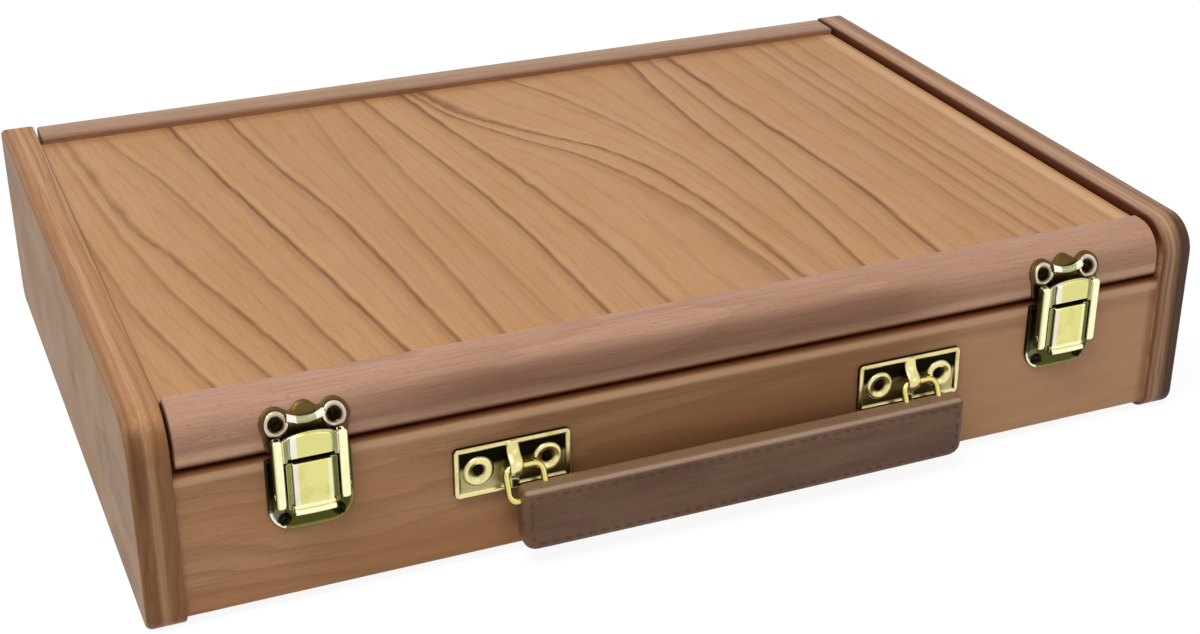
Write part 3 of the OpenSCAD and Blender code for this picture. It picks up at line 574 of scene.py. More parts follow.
# lid panel: each growth line as its distance from the left edge at seven places from back to front,
# with how strongly it shows at the back and at the front, all in millimetres from the middle
panelLines = {
    "rows": [128.0, 94.7, 61.3, 28.0, -5.3, -52.0, -118.7],
    "lines": [
        ((-198.7, -197.7, -196.3, -195.0, -193.0, -188.3, -176.0), 0.1, 0.7),
        ((-190.0, -187.7, -185.0, -182.3, -178.3, -171.3, -156.7), 0.2, 0.6),
        ((-186.0, -183.3, -180.3, -177.3, -168.7, -157.7, -144.0), 0.5, 0.8),
        ((-170.0, -162.3, -154.3, -148.7, -143.7, -137.0, -127.3), 0.35, 0.6),
        ((-139.3, -136.0, -132.3, -127.7, -123.3, -116.3, -108.0), 0.9, 1.0),
        ((-114.0, -111.0, -107.0, -101.3, -96.3, -93.0, -89.0), 0.75, 0.85),
        ((-76.7, -77.3, -77.7, -77.0, -75.7, -74.0, -72.7), 0.2, 0.6),
        ((-63.3, -61.7, -60.3, -59.0, -57.0, -54.0, -50.0), 0.5, 0.2),
        ((-50.7, -47.3, -43.3, -39.3, -36.0, -33.3, -32.0), 0.65, 0.85),
        ((-31.7, -27.3, -23.3, -18.7, -14.7, -10.7, -8.0), 0.9, 0.6),
        ((-27.3, -19.3, -4.0, 16.0, 28.0, 37.3, 42.0), 0.7, 0.5),
        ((-24.7, -15.3, 5.0, 28.3, 39.3, 44.7, 47.0), 0.8, 0.9),
        ((20.0, 35.0, 44.0, 51.7, 56.7, 59.3, 61.7), 0.6, 0.1),
        ((84.0, 81.0, 79.0, 78.3, 79.0, 77.7, 72.7), 0.8, 0.8),
        ((92.7, 92.3, 92.0, 91.7, 91.3, 90.3, 87.7), 0.5, 0.35),
        ((102.3, 103.3, 104.0, 105.7, 108.0, 109.0, 105.0), 1.0, 0.95),
        ((136.7, 137.3, 138.0, 138.3, 139.0, 140.0, 141.7), 0.2, 0.35),
        ((150.0, 150.0, 150.0, 150.3, 150.7, 150.0, 150.7), 0.35, 0.5),
        ((158.3, 158.3, 158.7, 159.0, 159.3, 160.7, 160.7), 0.45, 0.3),
        ((170.7, 170.0, 169.3, 169.0, 168.7, 168.3, 168.3), 0.3, 0.4),
        ((188.0, 187.5, 187.0, 186.5, 186.0, 186.0, 186.0), 0.2, 0.3),
    ],
}


def lineAt(places, rows, y):
    # a smooth curve through the places
    if y >= rows[0]:
        return places[0] + (places[0] - places[1]) * (y - rows[0]) / (rows[0] - rows[1])
    for i in range(len(rows) - 1):
        if y >= rows[i + 1]:
            t = (rows[i] - y) / (rows[i] - rows[i + 1])
            p1, p2 = places[i], places[i + 1]
            p0 = places[i - 1] if i else 2 * p1 - p2
            p3 = places[i + 2] if i + 2 < len(places) else 2 * p2 - p1
            m1, m2 = (p2 - p0) / 2, (p3 - p1) / 2
            return ((2 * t**3 - 3 * t**2 + 1) * p1 + (t**3 - 2 * t**2 + t) * m1
                    + (-2 * t**3 + 3 * t**2) * p2 + (t**3 - t**2) * m2)
    return places[-1] + (places[-1] - places[-2]) * (rows[-1] - y) / (rows[-2] - rows[-1])


def growthAt(x, y):
    # which growth line, how far apart they are here and how strong
    rows = panelLines["rows"]
    back = min(max((y - rows[-1]) / (rows[0] - rows[-1]), 0), 1)
    found = [(lineAt(p, rows, y), b * back + f * (1 - back)) for p, b, f in panelLines["lines"]]
    for i in range(1, len(found)):
        if found[i][0] < found[i - 1][0] + 2.0:
            found[i] = (found[i - 1][0] + 2.0, found[i][1])
    found = [(found[0][0] - 25, 0.3)] + found + [(found[-1][0] + 25, 0.3)]
    gaps = [found[i + 1][0] - found[i][0] for i in range(len(found) - 1)]
    wide = [gaps[0]] + [2 * a * b / (a + b) for a, b in zip(gaps, gaps[1:])] + [gaps[-1]]
    for i in range(len(found) - 1):
        if x <= found[i + 1][0] or i == len(found) - 2:
            t = min(max((x - found[i][0]) / gaps[i], 0), 1)
            return i + t, wide[i] + (wide[i + 1] - wide[i]) * t, found[i][1] + (found[i + 1][1] - found[i][1]) * t


def buildPanel():
    low, high = boxMm("lid_panel")
    low[0] -= 1.0
    front = boxMm("lid_front_rail")[1][1]
    back = boxMm("lid_back_rail")[0][1]
    cells = (150, 100)
    levels = [(1.2, high[2] - 5.5), (0.0, high[2] - 5.5), (0.0, high[2] - 0.5), (0.15, high[2] - 0.15),
              (0.5, high[2])]
    verts, faces = [], []
    for i in range(cells[0] + 1):
        for j in range(cells[1] + 1):
            x = low[0] + 0.5 + (high[0] - low[0] - 1.0) * i / cells[0]
            y = front - 0.4 + (back - front + 0.8) * j / cells[1]
            verts.append((x, y, high[2]))
    for i in range(cells[0]):
        for j in range(cells[1]):
            a = i * (cells[1] + 1) + j
            faces.append((a, a + cells[1] + 1, a + cells[1] + 2, a + 1))
    # the rim goes down from the border of the grid
    n = cells[1] + 1
    border = [i * n for i in range(cells[0] + 1)]
    border += [cells[0] * n + j for j in range(1, n)]
    border += [i * n + cells[1] for i in range(cells[0] - 1, -1, -1)]
    border += [j for j in range(cells[1] - 1, 0, -1)]
    before = border
    for out, drop in ((0.35, 0.15), (0.5, 0.5), (0.5, 5.5)):
        start = len(verts)
        for k in border:
            x, y, z = verts[k]
            sx = -1 if x < low[0] + 1 else 1 if x > high[0] - 1 else 0
            verts.append((x + sx * out, y, z - drop))
        after = list(range(start, start + len(border)))
        for k in range(len(border)):
            m = (k + 1) % len(border)
            faces.append((before[k], before[m], after[m], after[k]))
        before = after
    faces.append(tuple(reversed(before)))
    obj = makeMesh("lidPanelBoard", verts, faces)
    count = obj.data.attributes.new("growthCount", "FLOAT", "POINT")
    width = obj.data.attributes.new("growthWidth", "FLOAT", "POINT")
    strength = obj.data.attributes.new("growthStrength", "FLOAT", "POINT")
    for i, vertex in enumerate(obj.data.vertices):
        found = growthAt(vertex.co.x * 1000, vertex.co.y * 1000)
        count.data[i].value, width.data[i].value, strength.data[i].value = found
    flattenFaces(obj)
    return obj


def makePanelWood(look):
    material, tree, shader, place = newMaterial("lid panel wood")
    values = {}
    for name in ("growthCount", "growthWidth", "growthStrength"):
        values[name] = addNode(tree, "ShaderNodeAttribute", attribute_name=name).outputs["Fac"]
    grainPlace, axis = alongGrain(tree, place.outputs["Object"], "Y")
    grain = useGroup(tree, timberGrain, Place=grainPlace, Heart=(0.0, 0.0, -400.0), Ring_width=14.0, Wander=0.8)
    mm = vectorCalc(tree, "SCALE", place.outputs["Object"], (0, 0, 0))
    mm.node.inputs["Scale"].default_value = 1000
    shiver = noiseAt(tree, vectorCalc(tree, "MULTIPLY", mm, (0.12, 0.05, 0.12)), 1.0, 3.0, 0.55)
    shiver = calc(tree, "MULTIPLY", calc(tree, "SUBTRACT", shiver, 0.5), look["shiver"])
    width = values["growthWidth"]
    nearest = calc(tree, "ROUND", values["growthCount"], 0.0)
    offset = calc(tree, "ADD", calc(tree, "MULTIPLY", calc(tree, "SUBTRACT", values["growthCount"], nearest), width),
                  shiver)
    away = calc(tree, "ABSOLUTE", offset, 0.0)
    uneven = noiseAt(tree, vectorCalc(tree, "MULTIPLY", mm, (0.3, 0.035, 0.3)), 1.0, 2.0, 0.5)
    core = calc(tree, "MULTIPLY", ramp(tree, away, look["lineWidth"], 0.0), ramp(tree, uneven, 0.25, 0.6, 0.55, 1.0))
    shadow = ramp(tree, offset, -look["shadeWidth"], 0.0, smooth=False)
    shadow = calc(tree, "MULTIPLY", shadow, ramp(tree, offset, 1.4, 0.0))
    glint = calc(tree, "MULTIPLY", ramp(tree, offset, 0.8, 2.4), ramp(tree, offset, 6.5, 2.4))
    line = calc(tree, "MULTIPLY", core, values["growthStrength"])
    veil = calc(tree, "MULTIPLY", calc(tree, "MULTIPLY", shadow, values["growthStrength"]), look["shade"])
    # fainter lines between the main ones
    between = calc(tree, "FRACT", calc(tree, "ADD", calc(tree, "MULTIPLY", values["growthCount"], 3.0),
                                       calc(tree, "MULTIPLY", uneven, 0.6)))
    faint = calc(tree, "MULTIPLY", ramp(tree, between, 0.72, 0.95), ramp(tree, between, 1.0, 0.95))
    colour = mixColour(tree, ramp(tree, grain["Tone"], 0.35, 0.65, 0.0, look["tone"]), look["light"], look["warm"])
    colour = mixColour(tree, ramp(tree, grain["Fibres"], 0.36, 0.74, 0.0, look["fibres"]), colour, look["dark"])
    colour = mixColour(tree, calc(tree, "MULTIPLY", faint, look["faint"]), colour, look["dark"])
    colour = mixColour(tree, veil, colour, look["dark"])
    colour = mixColour(tree, calc(tree, "MULTIPLY", calc(tree, "MULTIPLY", glint, values["growthStrength"]), look["glint"]),
                       colour, look["pale"])
    colour = mixColour(tree, calc(tree, "MULTIPLY", line, look["line"]), colour, look["deep"])
    colour = mixColour(tree, calc(tree, "MULTIPLY", grain["Flecks"], look["flecks"]), colour, look["dark"])
    for shadeIt in look["shades"]:
        colour = shadeIt(tree, place, colour)
    tree.links.new(colour, shader.inputs["Base Color"])
    marks = useGroup(tree, handlingMarks, Place=place.outputs["Object"])
    rough = calc(tree, "ADD", look["rough"], calc(tree, "MULTIPLY", marks["Smudge"], 0.12))
    rough = calc(tree, "ADD", rough, calc(tree, "MULTIPLY", line, 0.1))
    tree.links.new(rough, shader.inputs["Roughness"])
    shader.inputs["Specular IOR Level"].default_value = 0.22
    height = calc(tree, "ADD", calc(tree, "MULTIPLY", line, -1.0), calc(tree, "MULTIPLY", grain["Fibres"], -0.35))
    bumped(tree, shader, height, 0.00012, 0.8)
    return material


# painted shadow on the panel along the back rail's step
panelWood = makePanelWood({
    "light": paint(205, 153, 103), "warm": paint(197, 144, 95), "dark": paint(148, 98, 54),
    "deep": paint(114, 66, 26), "pale": paint(220, 168, 118), "tone": 0.6, "fibres": 0.2, "faint": 0.22, "line": 0.84,
    "flecks": 0.1, "lineWidth": 1.9, "shadeWidth": 6.0, "shade": 0.5, "glint": 0.35, "shiver": 2.2, "rough": 0.42,
    "shades": [bandShade({0: (184.6, 187.6, 191.4, 193.4)}, 0.5, paint(244, 196, 152)),
               bandShade({1: (120, 127.5, 131, 132)}, 0.2, paint(120, 72, 36))],
})
inPlace(buildPanel(), "lid", "beech_panel", panelWood, "lid_panel")
print("lid panel ready")

# boards of the base and the lid
endBoard = {"outerEdge": 2.2, "innerEdge": 0.9, "corners": (7.0, 8.0, 3.0, 14.0)}


def buildEndBoard(side):
    low, high = boxMm(side + "_end_board")
    ring = cornerRing(low[1], low[2], high[1], high[2], endBoard["corners"], steps=12)
    edges = (endBoard["outerEdge"], endBoard["innerEdge"])
    if side == "right":
        edges = edges[::-1]
    return makeMesh(side + "EndBoard", *movedPart(loftedPlate(ring, roundedLevels(low[0], high[0], *edges, steps=5)),
                                                  alongX))


for side, wood in (("left", leftEndWood), ("right", rightEndWood)):
    board = buildEndBoard(side)
    flattenFaces(board)
    inPlace(board, "base", "beech_frame", wood, side + "_end_board")

longBoards = {
    "front_board": {"piece": "frontBoard", "body": "base", "corners": (2.5, 0.8, 0.8, 2.2), "reach": 0.3, "wood": baseWood},
    "back_board": {"piece": "backBoard", "body": "base", "corners": (0.8, 1.2, 1.0, 0.8), "reach": 0.3, "wood": baseWood},
    "lid_front_rail": {"piece": "lidFrontRail", "body": "lid", "corners": (3.0, 0.8, 1.0, 12.5), "reach": 0.0,
                       "wood": frontRailWood},
    "lid_back_rail": {"piece": "lidBackRail", "body": "lid", "corners": (0.8, 1.0, 3.0, 1.0), "reach": 0.0,
                      "wood": backRailWood},
}
innerX = boxMm("right_end_board")[0][0]
for node, look in longBoards.items():
    low, high = boxMm(node)
    half = innerX + look["reach"] if look["body"] == "base" else high[0]
    endEdge = 0.1 if look["body"] == "base" else 0.9
    ring = cornerRing(low[1], low[2], high[1], high[2], look["corners"], steps=12)
    board = makeMesh(look["piece"], *movedPart(loftedPlate(ring, roundedLevels(-half, half, endEdge, endEdge)), alongX))
    flattenFaces(board)
    inPlace(board, look["body"], "beech_frame", look["wood"], node)
print("boards ready")

# plywood inside, with its plies along the edges
plyLook = {"light": paint(222, 196, 152), "dark": paint(196, 160, 112), "edge": paint(150, 108, 66), "ply": 1.3}


def makePlywood(name, thickAxis, along):
    material, tree, shader, place = newMaterial(name)
    grainPlace, axis = alongGrain(tree, place.outputs["Object"], along)
    grain = useGroup(tree, timberGrain, Place=grainPlace, Heart=(0.0, 30.0, -700.0), Ring_width=22.0, Wander=2.2)
    colour = mixColour(tree, calc(tree, "MULTIPLY", grain["Rings"], 0.35), plyLook["light"], plyLook["dark"])
    colour = mixColour(tree, ramp(tree, grain["Fibres"], 0.4, 0.75, 0.0, 0.3), colour, plyLook["dark"])
    parts = addNode(tree, "ShaderNodeSeparateXYZ")
    tree.links.new(place.outputs["Object"], parts.inputs[0])
    facing = addNode(tree, "ShaderNodeSeparateXYZ")
    tree.links.new(place.outputs["Normal"], facing.inputs[0])
    plies = calc(tree, "FRACT", calc(tree, "MULTIPLY", parts.outputs[thickAxis], 500 / plyLook["ply"]))
    plies = calc(tree, "MULTIPLY", ramp(tree, plies, 0.42, 0.5), ramp(tree, plies, 1.0, 0.92))
    atEdge = ramp(tree, calc(tree, "ABSOLUTE", facing.outputs[thickAxis]), 0.8, 0.4)
    colour = mixColour(tree, calc(tree, "MULTIPLY", calc(tree, "MULTIPLY", plies, atEdge), 0.75), colour, plyLook["edge"])
    marks = useGroup(tree, handlingMarks, Place=place.outputs["Object"])
    colour = mixColour(tree, calc(tree, "MULTIPLY", marks["Smudge"], 0.15), colour, plyLook["dark"])
    tree.links.new(colour, shader.inputs["Base Color"])
    rough = calc(tree, "ADD", 0.55, calc(tree, "MULTIPLY", marks["Smudge"], 0.1))
    tree.links.new(rough, shader.inputs["Roughness"])
    bumped(tree, shader, grain["Fibres"], 0.00006, 0.6)
    return material


flatPly = makePlywood("birch ply lying flat", 2, "X")
dressNode("bottom_panel", flatPly, 0.3)
dressNode("palette", flatPly, 0.7)
dressNode("trough_divider", makePlywood("birch ply along the box", 1, "X"), 0.6)
dressNode("compartment_dividers", makePlywood("birch ply across the box", 0, "Y"), 0.6)
for node in ("lid_left_rail", "lid_right_rail"):
    dressNode(node, sideRailWood, 0.5)
print("inside ready")


# brass
def makeBrass(name, look):
    material, tree, shader, place = newMaterial(name)
    lies = place.outputs["Object"]
    if look.get("bent"):
        lies = addNode(tree, "ShaderNodeAttribute", attribute_name="flatPlace").outputs["Vector"]
    skin = useGroup(tree, metalSkin, Place=lies, Facing=place.outputs["Normal"], Wood_face=look["face"],
                    Dark_reach=look["reach"], Recess_reach=look["recessReach"])
    edge = useGroup(tree, rubbedEdges, Reach=0.0005)["Edge"]
    colour = mixColour(tree, calc(tree, "MULTIPLY", skin["Tarnish"], look["cloud"]), look["bright"], look["dull"])
    for shadeIt in look.get("shades", ()):
        colour = shadeIt(tree, place, colour)
    # rubbed edges brightened, partly polish wear and partly a painted highlight
    colour = mixColour(tree, calc(tree, "MULTIPLY", edge, look["shine"]), colour, look["edge"])
    # painted shade: darker near the wood, on faces turned sideways or down, in recesses and between parts, and where a
    # look adds more
    shadeMask = calc(tree, "MULTIPLY", skin["Foot"], look["foot"])
    shadeMask = calc(tree, "MAXIMUM", shadeMask, calc(tree, "MULTIPLY", skin["Turned away"], look["away"]))
    shadeMask = calc(tree, "MAXIMUM", shadeMask, calc(tree, "MULTIPLY", skin["Recess"], look["recess"]))
    for paintShadeIt in look.get("paintedShade", ()):
        shadeMask = paintShadeIt(tree, place, skin, shadeMask)
    colour = mixColour(tree, shadeMask, colour, look["dark"])
    for shadeIt in look.get("over", ()):
        colour = shadeIt(tree, place, colour)
    tree.links.new(colour, shader.inputs["Base Color"])
    shader.inputs["Metallic"].default_value = 1.0
    rough = calc(tree, "ADD", look["rough"], calc(tree, "MULTIPLY", skin["Tarnish"], 0.1))
    rough = calc(tree, "ADD", rough, calc(tree, "MULTIPLY", shadeMask, 0.2))
    tree.links.new(rough, shader.inputs["Roughness"])
    bumped(tree, shader, skin["Grain"], 0.00001, 0.5)
    return material


def placed(tree, place, axis):
    parts = addNode(tree, "ShaderNodeSeparateXYZ")
    tree.links.new(place.outputs["Object"], parts.inputs[0])
    return parts.outputs[axis]


def shadeAbove(low, high, share):
    # painted shade over the whole skin above a level
    def paintedShade(tree, place, skin, shadeMask):
        mask = calc(tree, "MULTIPLY", ramp(tree, placed(tree, place, 2), low, high), share)
        return calc(tree, "MAXIMUM", shadeMask, mask)
    return paintedShade


def shadeUnderRim(low, high, share):
    # painted shade in the pressed field under its top rim
    def paintedShade(tree, place, skin, shadeMask):
        mask = calc(tree, "MULTIPLY", ramp(tree, placed(tree, place, 2), low, high), skin["Foot"])
        return calc(tree, "MAXIMUM", shadeMask, calc(tree, "MULTIPLY", mask, share))
    return paintedShade


def strip(low, high, share, tint, below=200.0, above=0.0):
    # a tint between two distances from a catch's middle and between two levels, in millimetres
    def shade(tree, place, colour):
        x = placed(tree, place, 0)
        across = calc(tree, "SUBTRACT", x, calc(tree, "MULTIPLY", calc(tree, "SIGN", x), catchX))
        mask = calc(tree, "MULTIPLY", ramp(tree, across, low / 1000 - 0.0003, low / 1000 + 0.0003),
                    ramp(tree, across, high / 1000 + 0.0003, high / 1000 - 0.0003))
        level = placed(tree, place, 2)
        mask = calc(tree, "MULTIPLY", mask, calc(tree, "MULTIPLY", calc(tree, "LESS_THAN", level, below / 1000),
                                                 calc(tree, "GREATER_THAN", level, above / 1000)))
        return mixColour(tree, calc(tree, "MULTIPLY", mask, share), colour, tint)
    return shade


frontFace = boxMm("front_board")[0][1]
backFace = boxMm("back_board")[1][1]
catchX = (boxMm("right_catch_plate")[0][0] + boxMm("right_catch_plate")[1][0]) / 2000
bracketLow, bracketHigh = boxMm("right_handle_bracket")
brassLook = {
    "face": frontFace / 1000, "reach": 0.0036, "recessReach": 0.0024, "cloud": 0.35, "foot": 0.85, "away": 0.85,
    "recess": 0.8, "shine": 0.7, "rough": 0.18,
    "bright": paint(228, 222, 142), "dull": paint(196, 182, 92), "dark": paint(38, 32, 10), "edge": paint(255, 252, 214),
}
leverFoot = boxMm("right_catch_lever")[0][2] + 1.0
plateFoot = boxMm("right_catch_plate")[0][2]
olive = paint(112, 108, 50)
# painted highlights on two strips of the lever and on its rolled lip, and painted shade on its flanks
leverBrass = makeBrass("lever brass", dict(
    brassLook, reach=0.0036, dark=paint(50, 46, 14),
    shades=[strip(-7.0, -5.0, 0.8, paint(240, 232, 224)), strip(5.3, 7.0, 0.6, paint(250, 248, 204)),
            levelShade(2, (leverFoot + 3.0) / 1000, (leverFoot + 1.2) / 1000, 0.9, paint(255, 252, 206)),
            strip(-9.6, -7.0, 0.85, olive), strip(7.0, 9.6, 0.95, paint(84, 82, 34))]))
# the bail's bright colours are a painted highlight; its middle is darker as a painted duller reflection, with a pale
# painted highlight strip beside it, and painted shade on the bands beside the field and on the left arm's outer edge
bailBrass = makeBrass("bail brass", dict(
    brassLook, reach=0.0042, foot=0.9, bright=paint(255, 252, 204), dull=paint(236, 228, 148), cloud=0.2,
    shades=[strip(-5.0, 7.3, 0.9, paint(220, 214, 130)), strip(-7.3, -5.0, 0.8, paint(238, 232, 222)),
            strip(-9.3, -7.4, 0.85, olive), strip(7.4, 9.3, 0.85, olive), strip(-13.4, -12.2, 0.5, paint(190, 190, 110))]))
# the keeper's pinkish and brown colours are a painted reflection of the wood; a painted highlight runs over its middle,
# darker at the very middle as a painted dark reflection
keeperBrass = makeBrass("keeper brass", dict(
    brassLook, bent=True, reach=0.0021, foot=1.0, bright=paint(214, 196, 180), dull=paint(150, 132, 104), cloud=0.5, recess=0.85,
    dark=paint(94, 74, 38), shades=[strip(-6.6, 6.6, 0.85, paint(255, 250, 226)), strip(-3.4, 3.4, 0.85, paint(150, 158, 104))]))
# the plate's dark colours and the darkening above its foot are painted shade under the lever; a painted highlight
# gleams on its lower left rim, and painted shadow darkens its left-facing walls and left edge
plateBrass = makeBrass("plate brass", dict(
    brassLook, reach=0.00145, foot=0.9, bright=paint(132, 122, 70), dull=paint(104, 92, 52), dark=paint(62, 64, 22),
    shades=[strip(-15.5, -9.5, 0.9, paint(255, 248, 222), below=plateFoot + 9.0)],
    paintedShade=[shadeAbove((plateFoot + 9) / 1000, (plateFoot + 14) / 1000, 0.88)],
    over=[facingShade(0, -1, 0.45, 0.85, 0.9, paint(20, 18, 7)),
          strip(-15.5, -12.8, 0.8, paint(26, 18, 14), above=plateFoot + 8.0)]))
# the bracket's near-black dark colour and the darkening under its top rim are painted shade
bracketBrass = makeBrass("bracket brass", dict(
    brassLook, reach=0.0017, foot=0.5, bright=paint(236, 224, 162), dull=paint(196, 180, 104), cloud=0.6, recess=0.95,
    recessReach=0.002, dark=paint(18, 14, 5),
    paintedShade=[shadeUnderRim((bracketLow[2] + 8.0) / 1000, (bracketLow[2] + 12.5) / 1000, 1.0)]))
# the screw and nail heads are coloured near black as painted shade in their holes
screwBrass = makeBrass("screw brass", dict(brassLook, reach=0.0026, foot=0.9, bright=paint(64, 54, 30), dull=paint(34, 28, 14),
                                           edge=paint(120, 108, 70), dark=paint(10, 8, 4), rough=0.3))
wireBrass = makeBrass("wire brass", dict(brassLook, reach=0.002, foot=0.5, bright=paint(222, 204, 124), away=0.8,
                                         recess=0.9))
hingeBrass = makeBrass("hinge brass", dict(brassLook, face=backFace / 1000, reach=0.0012, foot=0.25, away=0.5, recess=0.6,
                                           bright=paint(226, 212, 140), dull=paint(176, 158, 88), rough=0.27))


def onFront(x):
    return lambda u, v, out: (x + u, frontFace - out, v)


def onBack(x):
    return lambda u, v, out: (x - u, backFace + out, v)


def slottedHead(radius, height, slotTurn=0.0):
    # a low domed screw head with a real slot
    cut, floor = 0.35, height * 0.45
    base = turned([(radius, 0.0), (radius, floor * 0.6), (radius * 0.97, floor)])
    parts = [base]
    for half in (0, 180):
        points = []
        start = math.degrees(math.asin(cut / radius))
        for i in range(15):
            a = math.radians(start + (180 - 2 * start) * i / 14)
            points.append((radius * 0.97 * math.cos(a), radius * 0.97 * math.sin(a)))
        turn = math.radians(half)
        points = [(x * math.cos(turn) - y * math.sin(turn), x * math.sin(turn) + y * math.cos(turn)) for x, y in points]
        parts.append(loftedPlate(outlineRing(points), [(0, floor * 0.5), (0.0, floor), (0.12, height * 0.75),
                                                       (0.45, height * 0.95), (0.8, height)]))
    turn = math.radians(slotTurn)
    return movedPart(joined(*parts), lambda x, y, z: (x * math.cos(turn) - y * math.sin(turn),
                                                      x * math.sin(turn) + y * math.cos(turn), z))


def bendOverRail(obj):
    # bends what reaches above the front rail's flat face over its rounded edge
    radius, bendZ = longBoards["lid_front_rail"]["corners"][3], boxMm("lid_front_rail")[1][2] - 12.5
    work = bmesh.new()
    work.from_mesh(obj.data)
    for i in range(11):
        bmesh.ops.bisect_plane(work, geom=work.verts[:] + work.edges[:] + work.faces[:], dist=1e-7,
                               plane_co=(0, 0, (bendZ + i) / 1000), plane_no=(0, 0, 1))
    flat = work.verts.layers.float_vector.new("flatPlace")
    for vert in work.verts:
        vert[flat] = vert.co
        up = vert.co.z * 1000 - bendZ
        if up > 0:
            out = frontFace - vert.co.y * 1000
            angle = math.asin(up / (radius + 1))
            vert.co.y = (frontFace + radius - (radius + out) * math.cos(angle)) / 1000
            vert.co.z = (bendZ + (radius + out) * math.sin(angle)) / 1000
    work.to_mesh(obj.data)
    work.free()


def slottedScrews(name, places, radius, height, out, place, body, node, material, shape=flattenFaces):
    parts = []
    for i, (x, z) in enumerate(places):
        spot = place(x)
        head = movedPart(slottedHead(radius, height, 37 + 71 * i), lambda u, v, o: (u, v + z, o + out))
        parts.append(movedPart(head, spot))
    obj = makeMesh(name, *joined(*parts))
    shape(obj)
    return inPlace(obj, body, "brass_screws", material, node)


def ringBoss(u, v, base, inner, outer, height):
    # a pressed ring round a screw or nail hole
    crest = (inner * 0.4 + outer * 0.6)
    profile = [(outer, base - 0.3), (outer, base), (outer * 0.95, base + height * 0.15), (outer * 0.88, base + height * 0.55),
               (crest + 0.45, base + height * 0.95), (crest, base + height), (crest - 0.45, base + height * 0.93),
               (inner + 0.6, base + height * 0.5), (inner + 0.1, base + height * 0.2), (inner, base - 0.2)]
    return movedPart(turned(profile, 36), lambda x, y, z: (x + u, y + v, z))


# draw catches
catch = {
    "cheekRadius": 1.2, "leverWider": 0.5, "sheetOut": 5.3, "armWidth": 3.8, "armRound": 1.3, "slotHeight": 1.8,
    "slotHalf": 8.0, "archRise": 2.4, "earRadius": 5.6, "hookHalf": 6.6, "hookUp": 0.4, "hookRise": 1.4, "hookRadius": 1.25,
}


def archRing(half, low, high, rise):
    # an outline with a straight foot and an arched top, as a function of how far it is drawn in
    def ring(inset=0.0):
        wide = half - inset
        top = [wide * (1 - i / 12) for i in range(25)]
        return [(-wide, low + inset), (wide, low + inset)] + [(u, high - inset + rise * (1 - (abs(u) / wide) ** 2.4))
                                                              for u in top]
    return ring


def middleX(node):
    low, high = boxMm(node)
    return (low[0] + high[0]) / 2


